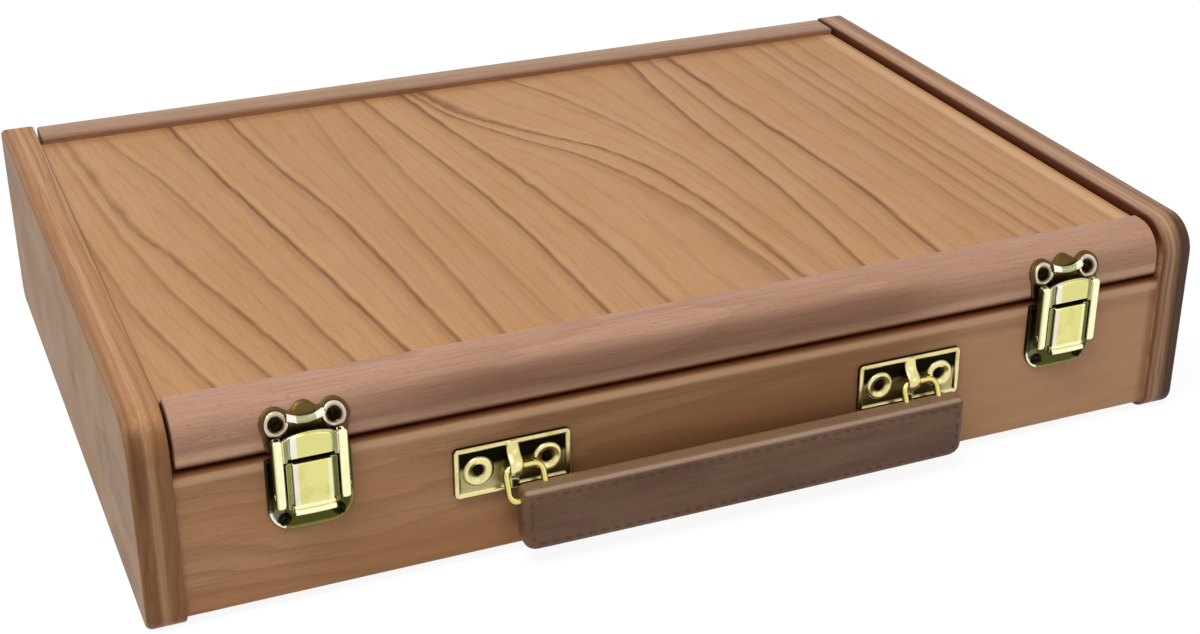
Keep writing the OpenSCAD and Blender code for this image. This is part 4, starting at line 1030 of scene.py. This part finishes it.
def buildCatch(side):
    x = middleX(side + "_catch_plate")
    spot = onFront(x)

    # base plate with a rolled rim, and the cheeks for the lever's pin
    low, high = boxMm(side + "_catch_plate")
    half = (high[0] - low[0]) / 2
    ring = cornerRing(-half, low[2], half, high[2], (9.0, 9.0, 1.2, 1.2), steps=8)
    plate = loftedPlate(ring, [(0.0, 0.0), (0.0, 0.9), (0.12, 1.2), (0.45, 1.4), (0.85, 1.35), (1.3, 1.05), (1.7, 0.95)])
    pinLow, pinHigh = boxMm(side + "_catch_pin")
    pinZ = (pinLow[2] + pinHigh[2]) / 2
    pinOut = frontFace - (pinLow[1] + pinHigh[1]) / 2
    leverLow, leverHigh = boxMm(side + "_catch_lever")
    leverHalf = (leverHigh[0] - leverLow[0]) / 2
    cheeks = []
    cheekRound = catch["cheekRadius"]
    for sign in (-1, 1):
        inner = sign * (leverHalf + 0.2)
        outer = inner + sign * 0.5
        points = [(0.0, pinZ - 4.5), (pinOut * 0.5, pinZ - 3.6)]
        points += [(pinOut + cheekRound * math.sin(math.radians(a)), pinZ - cheekRound * math.cos(math.radians(a)))
                   for a in range(20, 181, 20)]
        # the cheek falls away behind the pin, to leave room for the raised lever
        points += [(0.0, pinZ - cheekRound * 0.6)]
        cheek = loftedPlate(outlineRing(points), [(0.0, min(inner, outer)), (0.0, max(inner, outer))])
        cheeks.append(movedPart(cheek, lambda out, v, u: (u, v, out)))
    obj = makeMesh(side + "CatchPlate", *movedPart(joined(plate, *cheeks), spot))
    flattenFaces(obj)
    inPlace(obj, "base", "pressed_brass", plateBrass, side + "_catch_plate")

    # pin with riveted ends
    pinHalf = (pinHigh[0] - pinLow[0]) / 2
    r = (pinHigh[2] - pinLow[2]) / 2
    profile = [(r * 0.3, -pinHalf - 0.1), (r * 0.8, -pinHalf), (r, -pinHalf + 0.25), (r, pinHalf - 0.25),
               (r * 0.8, pinHalf), (r * 0.3, pinHalf + 0.1)]
    pin = movedPart(turned(profile, 20), lambda a, b, c: (x + c, frontFace - pinOut - a, pinZ + b))
    inPlace(makeMesh(side + "CatchPin", *pin), "base", "brass_wire", wireBrass, side + "_catch_pin")

    # lever: pressed tray with a framed field, side flanges and a rolled finger lip
    sheetOut, leverBottom = catch["sheetOut"], leverFoot
    leverTop = leverHigh[2]
    wide = leverHalf + catch["leverWider"]
    ring = cornerRing(-wide, leverBottom, wide, leverTop, (1.2, 1.2, 0.6, 0.6), steps=5)
    tray = loftedPlate(ring, [(0.3, sheetOut), (0.0, sheetOut + 0.1), (0.0, sheetOut + 0.3), (0.15, sheetOut + 0.45)])
    field = loftedPlate(cornerRing(-wide + 1.9, leverBottom, wide - 1.9, leverTop, (1.2, 1.2, 0.8, 0.8), steps=5),
                        [(0.0, sheetOut + 0.2), (0.0, sheetOut + 0.9), (0.2, sheetOut + 1.35), (0.6, sheetOut + 1.6),
                         (1.2, sheetOut + 1.65), (1.5, sheetOut + 1.4), (1.9, sheetOut + 1.35), (2.4, sheetOut + 1.5),
                         (3.2, sheetOut + 1.6)])
    lipPath = [(u, leverBottom - 0.15 - 0.35 * math.cos(u / wide * 1.4), sheetOut + 1.6)
               for u in [(-wide + 1.2) + (2 * wide - 2.4) * i / 16 for i in range(17)]]
    lip = wireLoop(lipPath, 1.1, 12, closed=False)
    apron = loftedPlate(cornerRing(-wide + 1.0, leverBottom - 0.9, wide - 1.0, leverBottom + 2.0, (0.4,) * 4, 3),
                        [(0.1, sheetOut), (0.0, sheetOut + 0.3), (0.0, sheetOut + 1.2), (0.3, sheetOut + 1.5)])
    bailPins = boxMm(side + "_catch_bail_pins")
    bailZ = (bailPins[0][2] + bailPins[1][2]) / 2
    flanges = []
    for sign in (-1, 1):
        inner, outer = sorted((sign * (leverHalf - 1.0), sign * leverHalf))
        points = [(sheetOut + 0.2, bailZ - 3.2), (pinOut - 1.4, bailZ - 1.6), (pinOut - 1.6, bailZ), (pinOut - 1.6, pinZ),
                  (pinOut - 1.2, pinZ + 1.2), (pinOut, pinZ + 1.7), (sheetOut + 0.2, pinZ + 1.4)]
        flange = loftedPlate(outlineRing(points), [(0.1, inner), (0.0, inner + 0.12), (0.0, outer - 0.12), (0.1, outer)])
        flanges.append(movedPart(flange, lambda out, v, u: (u, v, out)))
    obj = makeMesh(side + "CatchLever", *movedPart(joined(tray, field, lip, apron, *flanges), spot))
    flattenFaces(obj)
    inPlace(obj, side + "_lever", "pressed_brass", leverBrass, side + "_catch_lever")

    # bail: two rounded arms and the plate that joins them above the lever
    bailLow, bailHigh = boxMm(side + "_catch_bail")
    bailHalf = (bailHigh[0] - bailLow[0]) / 2
    armWidth, armOut = catch["armWidth"], sheetOut + 1.3 - 3.6
    arms = []
    for sign in (-1, 1):
        u0, u1 = sorted((sign * (bailHalf - armWidth), sign * bailHalf))
        ring = cornerRing(u0, bailLow[2], u1, bailHigh[2], (1.5, 1.5, 1.3, 1.3), steps=6)
        arms.append(loftedPlate(ring, roundedLevels(armOut, sheetOut + 1.3, 0.3, catch["armRound"], 5)))
    plateZ = leverTop + catch["slotHeight"]
    inner = bailHalf - armWidth
    ring = archRing(inner + 0.6, plateZ, bailHigh[2] - 0.5, catch["archRise"])
    bridge = loftedPlate(ring, [(0.0, sheetOut - 0.4), (0.0, sheetOut + 0.5), (0.15, sheetOut + 0.7)])
    ring = archRing(7.3, plateZ + 0.1, bailHigh[2] + 0.2, catch["archRise"] - 0.9)
    crest = loftedPlate(ring, [(0.0, sheetOut + 0.5), (0.0, sheetOut + 1.0), (0.2, sheetOut + 1.35), (0.6, sheetOut + 1.6),
                               (1.1, sheetOut + 1.6), (1.6, sheetOut + 1.45), (2.1, sheetOut + 1.5)])
    corners = []
    for sign in (-1, 1):
        u0, u1 = sorted((sign * catch["slotHalf"], sign * (inner + 0.6)))
        ring = cornerRing(u0, leverTop + 0.45, u1, plateZ + 0.8, (0.5, 0.5, 0.1, 0.1), steps=4)
        corners.append(loftedPlate(ring, roundedLevels(sheetOut - 0.3, sheetOut + 0.65, 0.1, 0.3, 3)))
    obj = makeMesh(side + "CatchBail", *movedPart(joined(*arms, bridge, crest, *corners), spot))
    flattenFaces(obj)
    inPlace(obj, side + "_bail", "pressed_brass", bailBrass, side + "_catch_bail")

    # the bail's rivets
    rivets = []
    rivetR = (bailPins[1][2] - bailPins[0][2]) / 2
    for sign in (-1, 1):
        a, b = sorted((sign * (leverHalf - 1.2), sign * (bailHalf - 0.35)))
        profile = [(rivetR * 0.6, a), (rivetR, a + 0.15), (rivetR, b - 0.15), (rivetR * 0.6, b)]
        rivets.append(movedPart(turned(profile, 18), lambda p, q, c: (c, bailZ + q, pinOut + p)))
        crown = [(1.15, 0.0), (1.1, 0.16), (0.7, 0.32), (0.15, 0.36)]
        rivets.append(movedPart(turned(crown, 20), lambda p, q, c: (sign * (bailHalf - 0.05 + c), bailZ + q, armOut + 1.7 + p)))
    obj = makeMesh(side + "CatchBailRivets", *movedPart(joined(*rivets), spot))
    inPlace(obj, side + "_bail", "brass_wire", wireBrass, side + "_catch_bail_pins")

    # keeper: two eared plate with a domed middle, rings round its screws and a hooked lip
    keepLow, keepHigh = boxMm(side + "_catch_keeper")
    earR = catch["earRadius"]
    keeperPins = boxMm("keeper_screws")
    earX = (keepHigh[0] - keepLow[0]) / 2 - 6.0
    earZ = keepLow[2] + (keepHigh[2] - keepLow[2]) - 6.0
    right = [(earX + earR * 0.6, keepLow[2]), (earX + earR * 0.75, keepLow[2] + 1.2)]
    right += [(earX + earR * math.cos(math.radians(a)), earZ + earR * math.sin(math.radians(a))) for a in range(-30, 116, 12)]
    right += [(earX - earR * 0.72, earZ + earR * 0.72), (earX - earR * 0.92, earZ + earR * 0.66), (3.4, earZ + earR * 0.84),
              (2.2, earZ + earR * 1.0), (0.9, earZ + earR * 1.06)]
    outline = right + [(-u, v) for u, v in reversed(right)]
    sheet = loftedPlate(outlineRing(outline), [(0.0, 0.0), (0.0, 0.6), (0.15, 0.9), (0.45, 1.0), (0.9, 0.95)])
    rings = [ringBoss(sign * earX, earZ, 0.9, 2.05, 4.7, 1.1) for sign in (-1, 1)]
    dome = movedPart(turned([(4.4, 0.0), (4.2, 0.2), (3.4, 0.4), (2.2, 0.5), (0.9, 0.54), (0.1, 0.55)], 28),
                     lambda a, b, c: (a * 0.9, b * 0.8 + earZ + 2.5, c + 0.8))
    lipHalf, lipRise = catch["hookHalf"], catch["hookRise"]
    hookPath = [(u, earZ + catch["hookUp"] + lipRise * (abs(u) / lipHalf) ** 2, 2.9 - 0.4 * (abs(u) / lipHalf) ** 3)
                for u in [-lipHalf + 2 * lipHalf * i / 20 for i in range(21)]]
    hook = wireLoop(hookPath, catch["hookRadius"], 14, closed=False)
    web = loftedPlate(cornerRing(-lipHalf + 0.8, earZ + catch["hookUp"] - 0.7, lipHalf - 0.8, earZ + catch["hookUp"] + 0.5,
                                 (0.3,) * 4, 3), [(0.0, 0.2), (0.0, 2.2), (0.2, 2.6)])
    obj = makeMesh(side + "CatchKeeper", *movedPart(joined(sheet, *rings, dome, hook, web), spot))
    bendOverRail(obj)
    flattenFaces(obj)
    inPlace(obj, "lid", "pressed_brass", keeperBrass, side + "_catch_keeper")
    return {"x": x, "plateScrews": [(x - 9.5, low[2] + 4.5), (x + 9.5, low[2] + 4.5)],
            "keeperScrews": [(x - earX, earZ), (x + earX, earZ)]}


catches = [buildCatch(side) for side in ("left", "right")]
slottedScrews("catchPlateScrews", [p for c in catches for p in c["plateScrews"]], 2.3, 1.0, 0.95, onFront, "base",
              "catch_plate_screws", screwBrass)
slottedScrews("keeperScrews", [p for c in catches for p in c["keeperScrews"]], 2.0, 0.8, 0.95, onFront, "lid",
              "keeper_screws", screwBrass, shape=bendOverRail)
print("catches ready")

# carrying handle: brackets, rings and grip
bracket = {"cornerRadius": 2.0, "bossHeight": 1.3, "bossOuter": 6.2, "bossInner": 2.2, "strap": 5.0, "nailX": 13.0,
           "nailHead": [(2.1, 0.0), (2.05, 0.3), (1.75, 0.6), (1.1, 0.8), (0.4, 0.88), (0.05, 0.9)]}


def buildBracket(side):
    low, high = boxMm(side + "_handle_bracket")
    x = (low[0] + high[0]) / 2
    z = (low[2] + high[2]) / 2
    halfW, halfH = (high[0] - low[0]) / 2, (high[2] - low[2]) / 2
    spot = lambda u, v, out: (x + u, frontFace - out, z + v)
    r = bracket["cornerRadius"]
    ring = cornerRing(-halfW, -halfH, halfW, halfH, (r, r, r, r), steps=6)
    sheet = loftedPlate(ring, [(0.0, 0.0), (0.0, 1.0), (0.15, 1.4), (0.5, 1.6), (1.3, 1.62), (1.9, 1.45), (2.25, 0.9),
                               (2.6, 0.8)])
    bosses = [ringBoss(sign * bracket["nailX"], 0.0, 0.75, bracket["bossInner"], bracket["bossOuter"],
                       bracket["bossHeight"]) for sign in (-1, 1)]
    # the strap that bows over the ring
    across, along = 10, 40
    half = bracket["strap"] / 2
    top, under = [], []
    for j in range(along + 1):
        v = -halfH + 0.3 + (2 * halfH - 0.6) * j / along
        rise = 1.15 + 4.2 * math.exp(-((abs(v) / 4.3) ** 2.8))
        for i in range(across + 1):
            u = -half + 2 * half * i / across
            crown = 0.75 * (1 - (abs(u) / half) ** 2.4)
            top.append((u, v, rise + crown))
            under.append((u, v, rise - 0.55))
    verts = top + under
    size = len(top)
    faces = []
    n = across + 1
    for j in range(along):
        for i in range(across):
            a = j * n + i
            faces.append((a, a + 1, a + n + 1, a + n))
            faces.append((size + a, size + a + n, size + a + n + 1, size + a + 1))
        for i in (0, across):
            a = j * n + i
            faces.append((a, a + n, size + a + n, size + a))
    for i in range(across):
        for j in (0, along):
            a = j * n + i
            faces.append((a, a + 1, size + a + 1, size + a))
    strap = (verts, faces)
    obj = makeMesh(side + "HandleBracket", *movedPart(joined(sheet, *bosses, strap), spot))
    flattenFaces(obj)
    inPlace(obj, "base", "pressed_brass", bracketBrass, side + "_handle_bracket")
    return [(x - bracket["nailX"], z), (x + bracket["nailX"], z)]


nailPlaces = buildBracket("left") + buildBracket("right")
nails = [movedPart(turned(bracket["nailHead"], 26), lambda a, b, c: (x + a, frontFace - 0.75 - c, z + b))
         for x, z in nailPlaces]
inPlace(makeMesh("bracketNails", *joined(*nails)), "base", "brass_screws", screwBrass, "bracket_nails")


def buildRing(side):
    low, high = boxMm(side + "_handle_ring")
    wire = 1.25
    x0, x1 = low[0] + wire, high[0] - wire
    topY, topZ = frontFace - 3.6, high[2] - wire
    lowY, lowZ = low[1] + wire, low[2] + wire
    across = (Vector((0, lowY, lowZ)) - Vector((0, topY, topZ)))
    length = across.length
    across.normalize()
    corner = cornerRing(x0, 0.0, x1, length, (3.2,) * 4, steps=7)
    path = [tuple(Vector((a, topY, topZ)) + across * b) for a, b in corner(0.0)]
    dense = []
    for i, point in enumerate(path):
        after = path[(i + 1) % len(path)]
        gap = (Vector(after) - Vector(point)).length
        count = max(1, int(gap / 1.2))
        dense += [tuple(Vector(point).lerp(Vector(after), k / count)) for k in range(count)]
    obj = makeMesh(side + "HandleRing", *wireLoop(dense, wire, 16))
    return inPlace(obj, "handle", "brass_wire", wireBrass, side + "_handle_ring")


for side in ("left", "right"):
    buildRing(side)

grip = {"edge": 2.6, "lowCorner": 5.5, "crown": 0.5, "seamIn": 3.0, "stitch": 3.4, "stitchGap": 1.3}


def makeHide(name, look):
    material, tree, shader, place = newMaterial(name)
    pebble = useGroup(tree, hidePebble, Place=place.outputs["Object"], Pebble_size=look["pebble"])
    edge = useGroup(tree, rubbedEdges, Reach=0.002)["Edge"]
    colour = mixColour(tree, ramp(tree, pebble["Cloud"], 0.35, 0.68), look["base"], look["warm"])
    colour = mixColour(tree, calc(tree, "MULTIPLY", pebble["Crease"], look["crease"]), colour, look["deep"])
    colour = mixColour(tree, calc(tree, "MULTIPLY", edge, look["wear"]), colour, look["worn"])
    # the top is painted lighter as painted light from above, and its front edge is rubbed
    facing = addNode(tree, "ShaderNodeSeparateXYZ")
    tree.links.new(place.outputs["Normal"], facing.inputs[0])
    colour = mixColour(tree, ramp(tree, facing.outputs[2], 0.5, 0.95, 0.0, 0.6), colour, look["litTop"])
    rubbed = calc(tree, "MULTIPLY", ramp(tree, facing.outputs[2], 0.3, 0.65), ramp(tree, facing.outputs[1], -0.25, -0.6))
    colour = mixColour(tree, calc(tree, "MULTIPLY", rubbed, 0.7), colour, look["worn"])
    tree.links.new(colour, shader.inputs["Base Color"])
    marks = useGroup(tree, handlingMarks, Place=place.outputs["Object"])
    tree.links.new(calc(tree, "ADD", look["rough"], calc(tree, "MULTIPLY", marks["Smudge"], 0.14)), shader.inputs["Roughness"])
    shader.inputs["Specular IOR Level"].default_value = 0.4
    bumped(tree, shader, pebble["Height"], 0.00018, 0.8)
    return material


hideLook = {"pebble": 0.7, "base": paint(120, 85, 60), "warm": paint(94, 62, 42), "deep": paint(66, 44, 34),
            "worn": paint(184, 156, 134), "crease": 0.22, "wear": 0.2, "rough": 0.48, "litTop": paint(150, 118, 90)}
gripHide = makeHide("grip leather", hideLook)
threadHide = makeHide("grip thread", dict(hideLook, pebble=0.5, base=paint(92, 65, 48), warm=paint(80, 55, 40), crease=0.0,
                                          wear=0.0, rough=0.7, litTop=paint(96, 70, 54), worn=paint(96, 70, 54)))


def buildGrip():
    low, high = boxMm("handle_grip")
    thick = high[1] - low[1]
    # a long padded bar: sections along x, each a rounded outline that swells a little in the middle
    sections, around = 96, 48
    verts, faces = [], []
    length = high[0] - low[0]
    for s in range(sections + 1):
        t = s / sections
        # closer sections near the ends
        t = 0.5 - 0.5 * math.cos(math.pi * t)
        x = low[0] + length * t
        fromEnd = min(x - low[0], high[0] - x)
        r = grip["edge"]
        inset, lift = (reach - math.sqrt(reach * reach - max(reach - fromEnd, 0) ** 2) for reach in (r, grip["lowCorner"]))
        lean = grip["crown"] * (4 * t * (1 - t)) ** 0.6
        ring = cornerRing(low[1] + grip["crown"] - lean + inset, low[2] + lift, high[1] - inset, high[2] - inset,
                          (max(r - inset, 0.3),) * 4, steps=11)(0.0)
        for y, z in ring:
            wave = 0.18 * noise.noise(Vector((x / 26, y / 14, z / 14)))
            middle = ((low[1] + high[1]) / 2, (low[2] + high[2]) / 2)
            verts.append((x, y + wave * (1 if y > middle[0] else -1) * 0.5, z + wave * 0.6))
        around = len(ring)
    for s in range(sections):
        for k in range(around):
            m = (k + 1) % around
            faces.append((s * around + k, s * around + m, (s + 1) * around + m, (s + 1) * around + k))
    faces.append(tuple(range(around)))
    faces.append(tuple(range(sections * around, (sections + 1) * around)))
    obj = makeMesh("handleGrip", verts, faces)
    inPlace(obj, "handle", "handle_leather", gripHide, "handle_grip")

    # stitches sunk round the front and the back of the grip
    parts = []
    for y, outward in ((low[1], -1), (high[1], 1)):
        inset = grip["seamIn"]
        ring = cornerRing(low[0] + inset, low[2] + inset, high[0] - inset, high[2] - inset,
                          (4.0, 4.0, 1.6, 1.6), steps=8)(0.0)
        path = []
        for i, point in enumerate(ring):
            after = ring[(i + 1) % len(ring)]
            gap = math.dist(point, after)
            count = max(1, int(gap / 0.5))
            path += [(point[0] + (after[0] - point[0]) * k / count, point[1] + (after[1] - point[1]) * k / count)
                     for k in range(count)]
        pitch = grip["stitch"] + grip["stitchGap"]
        travelled, current = 0.0, []
        for i in range(len(path)):
            step = math.dist(path[i], path[i - 1]) if i else 0.0
            travelled += step
            if travelled % pitch < grip["stitch"]:
                current.append(path[i])
            elif len(current) > 2:
                parts.append((current, y, outward))
                current = []
            else:
                current = []
        if len(current) > 2:
            parts.append((current, y, outward))
    made = []
    for points, y, outward in parts:
        path = []
        for i, (a, b) in enumerate(points):
            t = i / (len(points) - 1)
            rise = 0.28 * math.sin(math.pi * t) - 0.12
            centre = grip["crown"] * (4 * ((a - low[0]) / length) * (1 - (a - low[0]) / length)) ** 0.6
            face = y + (grip["crown"] - centre if outward < 0 else 0.0)
            path.append((a, face + outward * rise, b))
        made.append(wireLoop(path, 0.18, 8, closed=False))
    thread = makeMesh("gripStitches", *joined(*made))
    return inPlace(thread, "handle", "handle_leather", threadHide)


buildGrip()
print("handle ready")

# hinges and turn buttons
for side in ("left", "right"):
    for node in ("_hinge_base_leaf", "_hinge_lid_leaf"):
        dressNode(side + node, hingeBrass, 0.18)
    dressNode(side + "_hinge_pin", hingeBrass, 0.15)
    dressNode(side + "_turn_button", makeBrass(side + " button brass", dict(brassLook, foot=0.0, away=0.2)), 0.35)
hingeXs = [middleX("left_hinge_pin"), middleX("right_hinge_pin")]
for node, body, piece in (("hinge_base_screws", "base", "hingeBaseScrews"), ("hinge_lid_screws", "lid", "hingeLidScrews")):
    low, high = boxMm(node)
    z = (low[2] + high[2]) / 2
    slottedScrews(piece, [(x + k, z) for x in hingeXs for k in (-12, 12)], 2.5, 1.0, 0.95, onBack, body, node, hingeBrass)
buttonLow, buttonHigh = boxMm("turn_button_screws")
buttonY = (buttonLow[1] + buttonHigh[1]) / 2
heads = []
for side in ("left", "right"):
    low, high = boxMm(side + "_turn_button")
    x = low[0] + 3.5 if side == "left" else high[0] - 3.5
    heads.append(movedPart(slottedHead(2.5, 1.05, 30), lambda a, b, c: (x + a, buttonY + b, low[2] + 0.05 - c)))
obj = makeMesh("turnButtonScrews", *joined(*heads))
flattenFaces(obj)
inPlace(obj, "lid", "brass_screws", hingeBrass, "turn_button_screws")
print("hinges ready")


# camera at the photograph's viewing angle
view = {
    "place": (-0.28185, -0.70806, 0.39643),
    "right": (0.92236, -0.38619, -0.00132), "down": (-0.17341, -0.41087, -0.89503), "ahead": (0.34517, 0.82582, -0.44596),
    "lens": 59.477,
}
camera = bpy.data.objects.new("camera", bpy.data.cameras.new("camera"))
bpy.context.scene.collection.objects.link(camera)
right, up, back = Vector(view["right"]), -Vector(view["down"]), -Vector(view["ahead"])
camera.matrix_world = Matrix((
    (right.x, up.x, back.x, view["place"][0]), (right.y, up.y, back.y, view["place"][1]),
    (right.z, up.z, back.z, view["place"][2]), (0, 0, 0, 1)))
camera.data.sensor_width = 36
camera.data.lens = view["lens"]
camera.data.clip_start = 0.01
bpy.context.scene.camera = camera

# floor, lamps and world
studio = {"floor": paint(212, 212, 212), "world": 0.32, "keyPower": 37.0, "keyPlace": (-0.89, -0.77, 2.27), "keySize": 1.3,
          "fillPower": 2.0, "fillPlace": (0.9, -1.9, 1.0), "floorGlow": 0.8, "floorGlowStrength": 1.14}


def makeFloorMaterial():
    material, tree, shader, place = newMaterial("pale floor")
    speckle = noiseAt(tree, place.outputs["Object"], 40.0, 3.0, 0.6)
    tree.links.new(mixColour(tree, calc(tree, "MULTIPLY", speckle, 0.04), studio["floor"], paint(188, 188, 190)),
                   shader.inputs["Base Color"])
    shader.inputs["Roughness"].default_value = 0.9
    glow = addNode(tree, "ShaderNodeEmission")
    glow.inputs["Strength"].default_value = studio["floorGlowStrength"]
    glow.inputs["Color"].default_value = (1, 1, 1, 1)
    ray = addNode(tree, "ShaderNodeLightPath")
    seen = calc(tree, "MAXIMUM", ray.outputs["Is Camera Ray"],
                calc(tree, "MAXIMUM", ray.outputs["Is Glossy Ray"], ray.outputs["Is Transmission Ray"]))
    mix = addNode(tree, "ShaderNodeMixShader")
    tree.links.new(calc(tree, "MULTIPLY", seen, studio["floorGlow"]), mix.inputs[0])
    tree.links.new(shader.outputs[0], mix.inputs[1])
    tree.links.new(glow.outputs[0], mix.inputs[2])
    tree.links.new(mix.outputs[0], tree.nodes["Material Output"].inputs["Surface"])
    return material


floor = makeMesh("floor", [(-6000, -6000, 0), (6000, -6000, 0), (6000, 6000, 0), (-6000, 6000, 0)], [(0, 1, 2, 3)])
floor.data.materials.append(makeFloorMaterial())

world = bpy.data.worlds.new("studio")
world.use_nodes = True
bpy.context.scene.world = world
tree = world.node_tree
background = tree.nodes["Background"]
ray = addNode(tree, "ShaderNodeLightPath")
seen = calc(tree, "MAXIMUM", ray.outputs["Is Camera Ray"],
            calc(tree, "MAXIMUM", ray.outputs["Is Glossy Ray"], ray.outputs["Is Transmission Ray"]))
background.inputs["Color"].default_value = (1, 1, 1, 1)
tree.links.new(ramp(tree, seen, 0.0, 1.0, studio["world"], 1.0, smooth=False), background.inputs["Strength"])


def addLamp(name, place, power, size, target=(0, 0, 0.03)):
    lamp = bpy.data.lights.new(name, "AREA")
    lamp.energy = power
    lamp.size = size
    obj = bpy.data.objects.new(name, lamp)
    bpy.context.scene.collection.objects.link(obj)
    obj.location = place
    obj.rotation_euler = (Vector(target) - Vector(place)).to_track_quat("-Z", "Y").to_euler()
    return obj


addLamp("key lamp", studio["keyPlace"], studio["keyPower"], studio["keySize"])
addLamp("fill lamp", studio["fillPlace"], studio["fillPower"], 1.2)
bpy.context.scene.view_settings.view_transform = "Standard"
print("studio ready")
